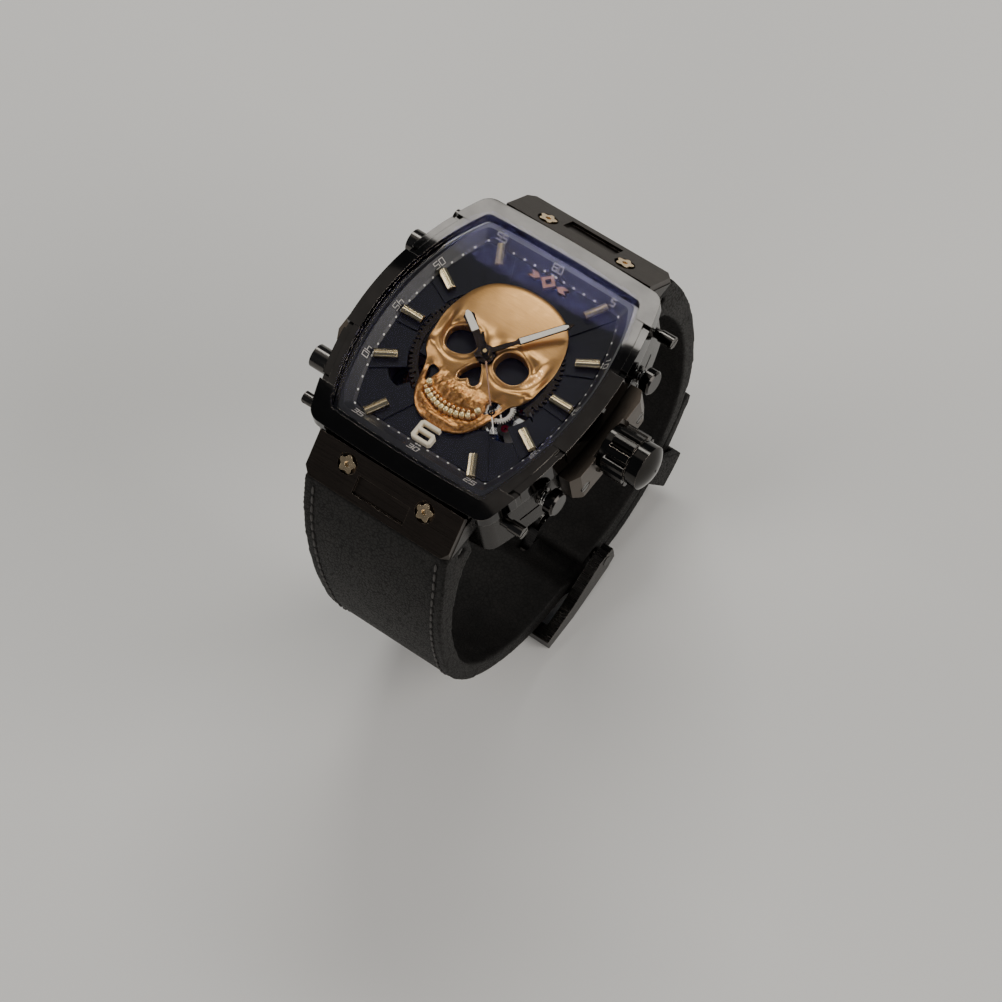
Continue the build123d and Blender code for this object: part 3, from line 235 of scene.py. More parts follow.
def brushed(name, colour, rough=0.3, metal=1.0, axis=0, bevel=0.06, var=0.25, depth=0.5, edge=None, aniso=0.0, freq=7.0):
    a = Mat(name, colour, rough, metal, bevel=bevel, aniso=aniso)
    st = [freq, freq, freq]
    st[axis] = 0.12
    g = a.noise(1.0, tuple(st), detail=3, rough=0.7)
    g2 = a.noise(0.5, detail=4)
    base = a.ramp(g, [(0.25, tint(colour, 1 - var)), (0.75, tint(colour, 1 + var))])
    base = a.mix(a.range(g2, 0.35, 0.7, 0.0, 0.35), base, tint(colour, 0.75))
    # painted highlight: convex edges lightened towards the edge colour
    if edge:
        base = a.worn(base, edge, 0.7)
    a.link(base, "Base Color")
    a.link(a.range(g, 0.25, 0.75, rough * 0.75, rough * 1.3), "Roughness")
    a.bump(g, depth, 0.008)
    return a.m


def blasted(name, colour, rough=0.5, metal=0.0, grain=6.0, depth=0.3, bevel=0.06, var=0.2):
    a = Mat(name, colour, rough, metal, bevel=bevel)
    g = a.noise(grain, detail=5, rough=0.7)
    a.link(a.ramp(a.noise(0.7, detail=5), [(0.3, tint(colour, 1 - var)), (0.7, tint(colour, 1 + var))]), "Base Color")
    a.link(a.range(g, 0.3, 0.7, rough * 0.85, rough * 1.15), "Roughness")
    a.bump(g, depth, 0.012)
    return a.m


def circular(name, colour, centre, rough=0.22, metal=1.0, freq=3.0, bevel=0.04, depth=0.25, sun=False):
    """Turned (circular) or sunray graining round a point in plan."""
    a = Mat(name, colour, rough, metal, bevel=bevel)
    x, y, z = a.xyz()
    dx = a.math("SUBTRACT", x, centre[0])
    dy = a.math("SUBTRACT", y, centre[1])
    if sun:
        q = a.math("MULTIPLY", a.math("ARCTAN2", dy, dx), 9.0)
    else:
        q = a.math("SQRT", a.math("ADD", a.math("MULTIPLY", dx, dx), a.math("MULTIPLY", dy, dy)))
        q = a.math("MULTIPLY", q, freq)
    c = a.n.new("ShaderNodeCombineXYZ")
    a.l.new(q, c.inputs[0])
    nz = a.n.new("ShaderNodeTexNoise")
    nz.inputs["Scale"].default_value = 2.5
    nz.inputs["Detail"].default_value = 3
    a.l.new(c.outputs[0], nz.inputs["Vector"])
    g = nz.outputs["Fac"]
    a.link(a.ramp(g, [(0.3, tint(colour, 0.78)), (0.7, tint(colour, 1.18))]), "Base Color")
    a.link(a.range(g, 0.3, 0.7, rough * 0.75, rough * 1.3), "Roughness")
    a.bump(g, depth, 0.008)
    return a.m


def striped(name, colour, period=1.5, angle=0.5, rough=0.2, metal=1.0):
    """Decorative stripes of a finished bridge: broad soft bands with fine graining."""
    a = Mat(name, colour, rough, metal, bevel=0.05)
    v = a.mapped(a.mm, (1, 1, 1), (0, 0, angle))
    w = a.n.new("ShaderNodeTexWave")
    w.wave_type, w.bands_direction, w.wave_profile = "BANDS", "X", "SAW"
    w.inputs["Scale"].default_value = 0.314 / period
    w.inputs["Distortion"].default_value = 0.0
    a.l.new(v, w.inputs["Vector"])
    band = w.outputs["Fac"]
    fine = a.noise(1.0, (0.15, 9, 9), detail=3, vec=v)
    a.link(a.ramp(band, [(0.0, tint(colour, 0.72)), (0.5, colour), (1.0, tint(colour, 1.2))]), "Base Color")
    a.link(a.range(fine, 0.3, 0.7, rough * 0.8, rough * 1.4), "Roughness")
    a.bump(a.math("ADD", band, a.math("MULTIPLY", fine, 0.3)), 0.35, 0.02)
    return a.m


BLK = (0.028, 0.027, 0.027)
mats = {}
mats["case_black"] = brushed("black_case_satin", (0.040, 0.037, 0.035), 0.26, 1.0, axis=1, edge=(0.30, 0.26, 0.23), depth=0.15, freq=16, var=0.12)
mats["bezel_black"] = polished("black_mirror_coating", (0.040, 0.038, 0.037), 0.045, 1.0, fine=0.02, bevel=0.09, edge=(0.42, 0.38, 0.34))
mats["gasket_rubber"] = blasted("gasket_rubber", (0.012, 0.012, 0.012), 0.6)
mats["flange_black"] = blasted("flange_satin_black", (0.016, 0.016, 0.020), 0.42, 0.0, grain=9, depth=0.15, bevel=0.03)
mats["back_steel"] = circular("case_back_turned", (0.10, 0.097, 0.094), (0, 0), 0.3, 1.0, freq=2.2)
mats["steel_screws"] = circular("polished_steel_screws", (0.55, 0.54, 0.53), (0, 0), 0.16, 1.0, freq=1.0)
mats["hood_brushed"] = brushed("hood_brushed_black", (0.050, 0.041, 0.035), 0.30, 1.0, axis=0, edge=(0.34, 0.28, 0.23), depth=0.22, freq=18, var=0.10)
mats["gold_screws"] = polished("champagne_gold_screws", (0.78, 0.60, 0.38), 0.22, 1.0, edge=(0.95, 0.82, 0.6), bevel=0.05)
mats["side_satin"] = brushed("side_plate_satin", (0.095, 0.078, 0.064), 0.33, 1.0, axis=1, edge=(0.36, 0.3, 0.25), depth=0.2, freq=16, var=0.10)
mats["dark_steel"] = polished("dark_polished_steel", (0.085, 0.08, 0.075), 0.16, 1.0, edge=(0.4, 0.37, 0.34))
mats["ring_plastic"] = blasted("movement_ring_plastic", (0.02, 0.02, 0.021), 0.5)
mats["ornament_dark"] = polished("dark_gear_ornament", (0.030, 0.025, 0.021), 0.30, 1.0, edge=(0.40, 0.33, 0.27), bevel=0.04)
mats["marker_gold"] = brushed("champagne_gold_batons", (0.78, 0.66, 0.43), 0.16, 1.0, axis=2, depth=0.08, freq=3, bevel=0.04, var=0.1)
mats["lume_cream"] = blasted("lume_cream", (0.88, 0.83, 0.73), 0.55, 0.0, grain=9, depth=0.35, bevel=0.03, var=0.05)
mats["numeral_cream"] = blasted("numeral_cream", (0.90, 0.80, 0.62), 0.42, 0.0, grain=9, depth=0.15, bevel=0.04, var=0.05)
mats["rose_gold"] = polished("dull_rose_gold", (0.36, 0.19, 0.125), 0.36, 1.0, edge=(0.6, 0.36, 0.25), bevel=0.05)
mats["plate_dark"] = circular("grained_dark_plating", (0.13, 0.125, 0.12), (0, 0), 0.34, 1.0, freq=1.4)
mats["bridge_steel"] = striped("striped_nickel_bridges", (0.56, 0.55, 0.54))
mats["ruby"] = polished("synthetic_ruby", (0.55, 0.012, 0.06), 0.06, 0.0, coat=0.8, bevel=0.02)
mats["barrel_copper"] = circular("copper_barrel", (0.72, 0.36, 0.2), (-5.28, -4.28), 0.24, 1.0, freq=2.5)
mats["wheel_steel"] = circular("steel_wheels_snailed", (0.60, 0.59, 0.58), (-5.28, -4.28), 0.18, 1.0, freq=2.0)
mats["wheel_brass"] = circular("brass_train_wheels", (0.78, 0.58, 0.30), (0, 0), 0.22, 1.0, freq=2.0)
mats["balance_brass"] = circular("balance_wheel_alloy", (0.78, 0.62, 0.38), (7.74, -6.49), 0.16, 1.0, freq=3.0)
mats["blued_steel"] = polished("blued_steel_spring", (0.045, 0.08, 0.34), 0.18, 1.0, bevel=0.0)
mats["rotor_steel"] = striped("striped_rotor", (0.36, 0.35, 0.34), period=2.2, angle=1.1, rough=0.24)
mats["crown_black"] = polished("crown_gloss_black", (0.040, 0.038, 0.036), 0.10, 1.0, bevel=0.10, edge=(0.46, 0.40, 0.35))
mats["pusher_black"] = polished("pusher_gloss_black", (0.045, 0.042, 0.040), 0.12, 1.0, bevel=0.08, edge=(0.5, 0.44, 0.38))
mats["spring_steel"] = polished("bright_spring_steel", (0.55, 0.54, 0.53), 0.2, 1.0, bevel=0.0)
mats["buckle_black"] = brushed("buckle_brushed_black", (0.085, 0.08, 0.076), 0.28, 1.0, axis=0, edge=(0.36, 0.33, 0.3), depth=0.45)


# dial: satin black with a faint radial grain
def dial_material():
    a = Mat("dial_satin_black", (0.004, 0.004, 0.008), 0.5, 0.0, spec=0.22, bevel=0.03)
    x, y, z = a.xyz()
    q = a.math("MULTIPLY", a.math("ARCTAN2", y, x), 14.0)
    c = a.n.new("ShaderNodeCombineXYZ")
    a.l.new(q, c.inputs[0])
    nz = a.n.new("ShaderNodeTexNoise")
    nz.inputs["Scale"].default_value = 2.0
    nz.inputs["Detail"].default_value = 3
    a.l.new(c.outputs[0], nz.inputs["Vector"])
    g = nz.outputs["Fac"]
    base = a.ramp(g, [(0.3, (0.003, 0.003, 0.007)), (0.7, (0.007, 0.007, 0.014))])
    a.link(base, "Base Color")
    a.link(a.range(g, 0.3, 0.7, 0.36, 0.52), "Roughness")
    a.bump(a.math("ADD", g, a.math("MULTIPLY", a.noise(9, detail=3), 0.4)), 0.22, 0.01)
    return a.m


mats["dial_black"] = dial_material()


# hands: dark polished bodies; their thin warm edges are a painted highlight
def hand_material():
    a = Mat("dark_polished_hands", (0.035, 0.028, 0.024), 0.16, 1.0, bevel=0.03)
    base = a.ramp(a.noise(1.2, detail=4), [(0.3, (0.028, 0.022, 0.019)), (0.7, (0.05, 0.04, 0.034))])
    a.link(a.worn(base, (0.55, 0.36, 0.24), 0.8, 0.08), "Base Color")
    a.link(a.range(a.noise(5, detail=4), 0.3, 0.7, 0.12, 0.24), "Roughness")
    a.bump(a.noise(3, detail=2), 0.05, 0.01)
    return a.m


mats["hand_gold"] = hand_material()


# second hand: coppery needle, black ring, pale tip
def seconds_material():
    a = Mat("seconds_hand_three_tone", (0.42, 0.25, 0.17), 0.22, 1.0, bevel=0.02)
    x, y, z = a.xyz()
    ang = math.radians(-48.0)
    along = a.math("ADD", a.math("MULTIPLY", x, math.cos(ang)), a.math("MULTIPLY", y, math.sin(ang)))
    f_tip = a.range(along, 10.75, 10.80, 0.0, 1.0)
    f_ring = a.math("MULTIPLY", a.range(along, 8.9, 9.0, 0.0, 1.0), a.math("SUBTRACT", 1.0, f_tip))
    f_hub = a.range(along, 1.6, 1.7, 1.0, 0.0)
    cop = a.ramp(a.noise(2, detail=4), [(0.3, (0.34, 0.20, 0.14)), (0.7, (0.52, 0.33, 0.23))])
    c1 = a.mix(f_ring, cop, (0.02, 0.018, 0.017))
    c2 = a.mix(f_hub, c1, (0.02, 0.018, 0.017))
    c3 = a.mix(f_tip, c2, (0.90, 0.85, 0.77))
    a.link(c3, "Base Color")
    a.link(a.range(f_tip, 0, 1, 1.0, 0.0), "Metallic")
    a.link(a.math("ADD", a.range(a.noise(6, detail=3), 0.3, 0.7, 0.14, 0.24), a.math("MULTIPLY", f_tip, 0.25)), "Roughness")
    a.bump(a.noise(5, detail=2), 0.06, 0.01)
    return a.m


mats["seconds_dark"] = seconds_material()


# glass: clear, with a soft blue violet coating that gathers at grazing angles
def glass_material(name, colour, lo, hi):
    a = Mat(name, colour, 0.06, 1.0, bevel=0.12)
    lw = a.n.new("ShaderNodeLayerWeight")
    lw.inputs["Blend"].default_value = 0.35
    f = a.range(lw.outputs["Facing"], 0.0, 1.0, 0.0, 1.0)
    f = a.math("POWER", f, 3.2)
    f = a.range(f, 0.0, 1.0, lo, hi)
    smear = a.range(a.noise(0.12, detail=4, rough=0.6), 0.3, 0.7, 0.85, 1.15)
    a.link(a.math("MULTIPLY", f, smear), "Alpha")
    a.link(a.ramp(a.noise(0.06, detail=1), [(0.35, tint(colour, 0.8)), (0.65, tint(colour, 1.15))]), "Base Color")
    a.link(a.range(a.noise(0.5, detail=4), 0.3, 0.7, 0.03, 0.08), "Roughness")
    try:
        a.m.surface_render_method = "BLENDED"
    except Exception:
        pass
    return a.m


mats["crystal_glass"] = glass_material("coated_crystal", (0.30, 0.28, 0.72), 0.006, 0.30)
mats["window_glass"] = glass_material("clear_window", (0.75, 0.8, 0.82), 0.04, 0.5)


# rubber strap: fine pebbled grain, soft sheen
def strap_material(name="strap_black_leather"):
    a = Mat(name, (0.020, 0.018, 0.017), 0.58, 0.0, bevel=0.0, spec=0.18)
    v1 = a.voronoi(1.55, feature="DISTANCE_TO_EDGE")
    v2 = a.voronoi(4.2, feature="DISTANCE_TO_EDGE")
    pores = a.noise(7.0, detail=4)
    creases = a.range(v1, 0.0, 0.14, 0.0, 1.0)
    small = a.range(v2, 0.0, 0.12, 0.0, 1.0)
    h = a.math("ADD", creases, a.math("MULTIPLY", small, 0.35))
    h = a.math("ADD", h, a.math("MULTIPLY", pores, 0.25))
    tone = a.ramp(a.noise(0.25, detail=5), [(0.3, (0.006, 0.0055, 0.005)), (0.7, (0.014, 0.0125, 0.0115))])
    # painted shade: the crease lines of the grain are darkened towards near black
    a.link(a.mix(a.range(creases, 0.0, 1.0, 0.55, 0.0), tone, (0.003, 0.003, 0.003)), "Base Color")
    a.link(a.range(h, 0.3, 1.5, 0.78, 0.5), "Roughness")
    a.bump(h, 0.5, 0.06)
    return a.m


mats["strap_black"] = strap_material()


# skull: brushed rose gold above, hammered and darker below
def skull_material():
    a = Mat("skull_rose_gold", (0.80, 0.40, 0.17), 0.30, 1.0, bevel=0.0)
    x, y, z = a.xyz()
    low = a.range(y, -3.6, -6.4, 0.0, 1.0)
    grain = a.noise(1.0, (1.6, 1.6, 1.6), detail=6, rough=0.7)
    sat = a.noise(1.0, (0.35, 9.0, 5.0), detail=3, rough=0.6)
    ham = a.noise(1.9, detail=3, rough=0.5, distort=0.6)
    up_col = a.ramp(sat, [(0.25, (0.53, 0.285, 0.105)), (0.75, (0.68, 0.385, 0.15))])
    # the lower face's colour follows the same noise as its hammered bump: painted shade in the dents, painted highlight
    # on the peaks
    lo_col = a.ramp(ham, [(0.32, (0.30, 0.115, 0.035)), (0.50, (0.50, 0.235, 0.078)), (0.70, (0.74, 0.41, 0.155))])
    col = a.mix(low, up_col, lo_col)
    col = a.mix(a.range(a.noise(0.22, detail=4), 0.35, 0.68, 0.0, 0.30), col, (0.50, 0.255, 0.085))
    g = a.n.new("ShaderNodeNewGeometry")
    # painted shade: hollows with low pointiness are darkened towards deep brown
    cavity_painted_shade = a.range(g.outputs["Pointiness"], 0.36, 0.475, 1.0, 0.0)
    col = a.mix(a.math("MULTIPLY", cavity_painted_shade, 0.75), col, (0.16, 0.055, 0.02))
    # painted highlight: convex rims with high pointiness are painted pale gold; the same mask also lowers the roughness
    # below
    edge = a.range(g.outputs["Pointiness"], 0.53, 0.60, 0.0, 0.7)
    col = a.mix(edge, col, (0.98, 0.66, 0.34))
    a.link(col, "Base Color")
    r = a.math("ADD", a.range(grain, 0.3, 0.7, 0.34, 0.46), a.math("MULTIPLY", edge, -0.16))
    a.link(r, "Roughness")
    h = a.math("ADD", a.math("MULTIPLY", a.math("MULTIPLY", ham, low), 5.0), a.math("ADD", a.math("MULTIPLY", sat, 0.30), a.math("MULTIPLY", grain, 0.25)))
    a.bump(h, 0.34, 0.03)
    return a.m


mats["skull_gold"] = skull_material()
M_TEETH = polished("teeth_bright_gold", (1.0, 0.80, 0.44), 0.26, 0.72, bevel=0.0, var=0.05)
M_TEETH2 = polished("teeth_copper_gold", (0.92, 0.60, 0.29), 0.26, 0.8, bevel=0.0)
# near-black, barely reflective material of the plate under the skull: painted shade in the sockets
M_SOCKET_SHADE = blasted("socket_painted_shade_black", (0.002, 0.002, 0.002), 0.9, 0.0)
M_SOCKET_SHADE.node_tree.nodes["Principled BSDF"].inputs["Specular IOR Level"].default_value = 0.05
M_PRINT = blasted("white_minute_print", (0.86, 0.84, 0.80), 0.45, 0.0, grain=8, depth=0.2, bevel=0.0, var=0.06)
M_PRINT2 = blasted("grey_numeral_print", (0.60, 0.57, 0.54), 0.5, 0.0, grain=8, depth=0.2, bevel=0.0, var=0.06)
M_TRACK = blasted("dark_grey_track", (0.045, 0.043, 0.047), 0.4, 0.0, grain=8, depth=0.2, bevel=0.0)
M_THREAD = brushed("waxed_black_thread", (0.045, 0.041, 0.038), 0.55, 0.0, axis=2, depth=0.9, freq=5, bevel=0.0)
M_GEAR = circular("silver_fine_gear", (0.62, 0.59, 0.54), (6.3, -5.4), 0.22, 1.0, freq=3.0)
M_COPPER = circular("copper_mechanism", (0.50, 0.25, 0.14), (-8.8, -7.9), 0.3, 1.0, freq=3.0)

record = frame["record"]
node_slot = {}
for p in record.get("physics", {}).get("parts", []) if isinstance(record.get("physics"), dict) else []:
    pass


def slots_of(rec):
    """node -> material slot, wherever the record keeps it."""
    found = {}

    def walk(v):
        if isinstance(v, dict):
            if "slot" in v and ("nodes" in v or "node" in v):
                for n in v.get("nodes", [v.get("node")]):
                    found[n] = v["slot"]
            for k, q in v.items():
                if k in NODES and isinstance(q, str) and q in mats:
                    found[k] = q
                walk(q)
        elif isinstance(v, list):
            for q in v:
                walk(q)

    walk(rec)
    return found


NODE_SLOT = {
    "mid_case": "case_black", "bezel": "bezel_black", "crystal": "crystal_glass", "case_gaskets": "gasket_rubber", "rehaut": "flange_black",
    "case_back": "back_steel", "case_back_window": "window_glass", "back_screws": "steel_screws", "hood_plate_12": "hood_brushed",
    "hood_plate_6": "hood_brushed", "hood_screws": "gold_screws", "crown_guard": "side_satin", "side_plate": "side_satin",
    "flank_screws": "dark_steel", "button_tubes": "dark_steel", "left_studs": "dark_steel", "strap_bars": "dark_steel",
    "movement_ring": "ring_plastic", "dial_plate": "dial_black", "ornament_ring": "ornament_dark", "hour_markers": "marker_gold",
    "marker_lume": "marker_gold", "numeral_six": "numeral_cream", "ornament_12": "rose_gold", "skull": "skull_gold",
    "main_plate": "plate_dark", "train_bridge": "bridge_steel", "barrel_bridge": "bridge_steel", "balance_cock": "bridge_steel",
    "jewels": "ruby", "barrel": "barrel_copper", "ratchet_wheel": "wheel_steel", "crown_wheel": "wheel_steel",
    "centre_wheel": "wheel_brass", "third_wheel": "wheel_brass", "fourth_wheel": "wheel_brass", "escape_wheel": "wheel_steel",
    "pallet_fork": "wheel_steel", "balance_wheel": "balance_brass", "hairspring": "blued_steel", "minute_wheel": "wheel_brass",
    "hour_wheel": "wheel_brass", "winding_pinion": "wheel_steel", "winding_stem": "wheel_steel", "rotor": "rotor_steel",
    "rotor_bearing": "wheel_steel", "crown": "crown_black", "pusher_upper": "pusher_black", "pusher_lower": "pusher_black",
    "pusher_springs": "spring_steel", "hour_hand": "hand_gold", "hour_hand_lume": "lume_cream", "minute_hand": "hand_gold",
    "minute_hand_lume": "lume_cream", "second_hand": "seconds_dark", "strap_12": "strap_black", "strap_6": "strap_black",
    "buckle_frame": "buckle_black", "buckle_tongue": "buckle_black", "strap_keeper": "strap_black",
}
for name, ob in NODES.items():
    m = mats[NODE_SLOT[name]]
    ob.data.materials.clear()
    ob.data.materials.append(m)


# ------------------------------------------------------------------ mesh helpers
def new_object(name, verts, faces, material, smooth=True, scale=MM):
    me = bpy.data.meshes.new(name)
    me.from_pydata([(v[0] * scale, v[1] * scale, v[2] * scale) for v in verts], [], [tuple(int(i) for i in f) for f in faces])
    me.validate(clean_customdata=False)
    me.update()
    if smooth:
        me.polygons.foreach_set("use_smooth", [True] * len(me.polygons))
    ob = bpy.data.objects.new(name, me)
    bpy.context.scene.collection.objects.link(ob)
    for m in material if isinstance(material, (list, tuple)) else [material]:
        me.materials.append(m)
    return ob


def piece(ob, body, replaces=()):
    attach(ob, body)
    if replaces:
        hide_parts(*replaces)
    return ob


def recalc(ob):
    bm = bmesh.new()
    bm.from_mesh(ob.data)
    bmesh.ops.recalc_face_normals(bm, faces=bm.faces)
    bm.to_mesh(ob.data)
    bm.free()


class Soup:
    """Collects vertices and faces of many small shapes into one mesh."""

    def __init__(self):
        self.v, self.f = [], []

    def add(self, verts, faces):
        o = len(self.v)
        self.v += [tuple(p) for p in verts]
        self.f += [tuple(i + o for i in f) for f in faces]

    def prism(self, poly, z0, z1, top_scale=1.0, frame=None):
        """Polygon (2-D, local mm) from z0 to z1, placed by a 4x4 frame."""
        n = len(poly)
        cx = sum(p[0] for p in poly) / n
        cy = sum(p[1] for p in poly) / n
        vs = [Vector((x, y, z0)) for x, y in poly]
        vs += [Vector((cx + (x - cx) * top_scale, cy + (y - cy) * top_scale, z1)) for x, y in poly]
        if frame is not None:
            vs = [frame @ v for v in vs]
        fs = [tuple(range(n - 1, -1, -1)), tuple(range(n, 2 * n))]
        fs += [(i, (i + 1) % n, n + (i + 1) % n, n + i) for i in range(n)]
        self.add(vs, fs)

    def dome(self, frame, rx, ry, h, seg=14, rings=4):
        """Low rounded pad on a local plane."""
        vs, fs = [], []
        for j in range(rings):
            t = j / rings * math.pi / 2
            k, z = math.cos(t) ** 0.6, h * math.sin(t)
            for i in range(seg):
                a = 2 * math.pi * i / seg
                vs.append(frame @ Vector((rx * k * math.cos(a), ry * k * math.sin(a), z)))
        vs.append(frame @ Vector((0, 0, h)))
        for j in range(rings - 1):
            for i in range(seg):
                a, b = j * seg + i, j * seg + (i + 1) % seg
                fs.append((a, b, b + seg, a + seg))
        top = len(vs) - 1
        for i in range(seg):
            fs.append(((rings - 1) * seg + i, (rings - 1) * seg + (i + 1) % seg, top))
        self.add(vs, fs)

    def pad(self, frame, w, h, z0, z1, power=3.2, seg=36, rings=6):
        """Rounded block: superellipse plan with a rounded top, from z0 to z1."""
        vs, fs = [], []
        for j in range(rings + 1):
            t = j / rings
            if j == 0:
                k, z = 1.0, z0
            else:
                u = (j - 1) / (rings - 1) * math.pi / 2
                k = math.cos(u) * 0.45 + 0.55 if j < rings else 0.30
                z = z0 + (z1 - z0) * (0.45 + 0.55 * math.sin(u))
            for i in range(seg):
                a = 2 * math.pi * i / seg
                c, s = math.cos(a), math.sin(a)
                x = math.copysign(abs(c) ** (2 / power), c) * w / 2 * k
                y = math.copysign(abs(s) ** (2 / power), s) * h / 2 * k
                vs.append(frame @ Vector((x, y, z)))
        for j in range(rings):
            for i in range(seg):
                a, b = j * seg + i, j * seg + (i + 1) % seg
                fs.append((a, b, b + seg, a + seg))
        fs.append(tuple(rings * seg + i for i in range(seg)))
        fs.append(tuple(range(seg - 1, -1, -1)))
        self.add(vs, fs)

    def capsule(self, p0, p1, r, seg=10, up=None):
        d = (Vector(p1) - Vector(p0))
        ln = d.length
        if ln < 1e-6:
            return
        q = d.to_track_quat("Z", "Y").to_matrix().to_4x4()
        q.translation = Vector(p0)
        prof = [(-0.0, 0.0), (0.02, 0.45), (0.10, 0.80), (0.25, 1.0), (0.5, 1.06), (0.75, 1.0), (0.90, 0.80), (0.98, 0.45), (1.0, 0.0)]
        vs, fs = [], []
        for t, k in prof:
            for i in range(seg):
                a = 2 * math.pi * i / seg
                vs.append(q @ Vector((r * max(k, 0.02) * math.cos(a), r * max(k, 0.02) * math.sin(a), t * ln)))
        m = len(prof)
        for j in range(m - 1):
            for i in range(seg):
                a, b = j * seg + i, j * seg + (i + 1) % seg
                fs.append((a, b, b + seg, a + seg))
        fs.append(tuple(range(seg - 1, -1, -1)))
        fs.append(tuple((m - 1) * seg + i for i in range(seg)))
        self.add(vs, fs)

    def make(self, name, material, smooth=True):
        ob = new_object(name, self.v, self.f, material, smooth)
        recalc(ob)
        return ob


def plan_frame(x, y, z=0.0, rot=0.0):
    return Matrix.Translation((x, y, z)) @ Matrix.Rotation(rot, 4, "Z")


# ------------------------------------------------------------------ skull
HALF = [(2.5, 12.3), (4.9, 11.55), (6.8, 10.4), (8.2, 8.6), (9.1, 6.4), (9.6, 4.0), (9.65, 2.0), (9.4, 0.0), (9.2, -1.8), (8.5, -3.3),
        (7.4, -4.5), (6.75, -6.2), (6.35, -7.8), (5.7, -9.6), (4.6, -11.2), (3.1, -12.3), (1.2, -12.8)]
RING = [(0, 12.5)] + HALF + [(-x, y) for x, y in reversed(HALF)]


def closed_curve(pts, per=8):
    n = len(pts)
    out = []
    for i in range(n):
        p0, p1, p2, p3 = (np.array(pts[(i + k) % n], float) for k in (-1, 0, 1, 2))
        for j in range(per):
            t = j / per
            out.append(0.5 * ((2 * p1) + (p2 - p0) * t + (2 * p0 - 5 * p1 + 4 * p2 - p3) * t * t + (3 * p1 - p0 - 3 * p2 + p3) * t ** 3))
    return np.array(out)


def sdf(P, poly):
    """Signed distance, positive inside the polygon."""
    a = np.asarray(poly, float)
    b = np.roll(a, -1, axis=0)
    best = np.full(len(P), 1e9)
    inside = np.zeros(len(P), bool)
    for (ax, ay), (bx, by) in zip(a, b):
        dx, dy = bx - ax, by - ay
        L = dx * dx + dy * dy
        if L < 1e-12:
            continue
        t = np.clip(((P[:, 0] - ax) * dx + (P[:, 1] - ay) * dy) / L, 0, 1)
        d = np.hypot(P[:, 0] - ax - t * dx, P[:, 1] - ay - t * dy)
        best = np.minimum(best, d)
        cond = ((ay > P[:, 1]) != (by > P[:, 1]))
        with np.errstate(divide="ignore", invalid="ignore"):
            xi = ax + (P[:, 1] - ay) * dx / (dy if dy else 1e-12)
        inside ^= cond & (P[:, 0] < xi)
    return np.where(inside, best, -best)


def eye(sx, grow=0.0, n=64):
    th = np.linspace(0, 2 * math.pi, n, endpoint=False)
    pw = 2.35
    c, s = np.cos(th), np.sin(th)
    ex = np.sign(c) * np.abs(c) ** (2 / pw) * (2.45 + grow)
    ey = np.sign(s) * np.abs(s) ** (2 / pw) * (2.12 + grow)
    r = math.radians(-12 * sx)
    return np.stack([4.35 * sx + ex * math.cos(r) - ey * math.sin(r), 0.25 + ex * math.sin(r) + ey * math.cos(r)], 1)


def sm(x):
    x = np.clip(x, 0, 1)
    return x * x * (3 - 2 * x)


def value_noise(P, scale, seed):
    """Smooth seeded lattice noise in plan, about -1 to 1."""
    r = np.random.default_rng(seed)
    G = r.uniform(-1, 1, (96, 96))
    q = P * scale + 40.0
    i = np.floor(q).astype(int)
    f = q - i
    f = f * f * (3 - 2 * f)
    i %= 95
    x, y = i[:, 0], i[:, 1]
    return (G[x, y] * (1 - f[:, 0]) * (1 - f[:, 1]) + G[x + 1, y] * f[:, 0] * (1 - f[:, 1])
            + G[x, y + 1] * (1 - f[:, 0]) * f[:, 1] + G[x + 1, y + 1] * f[:, 0] * f[:, 1])


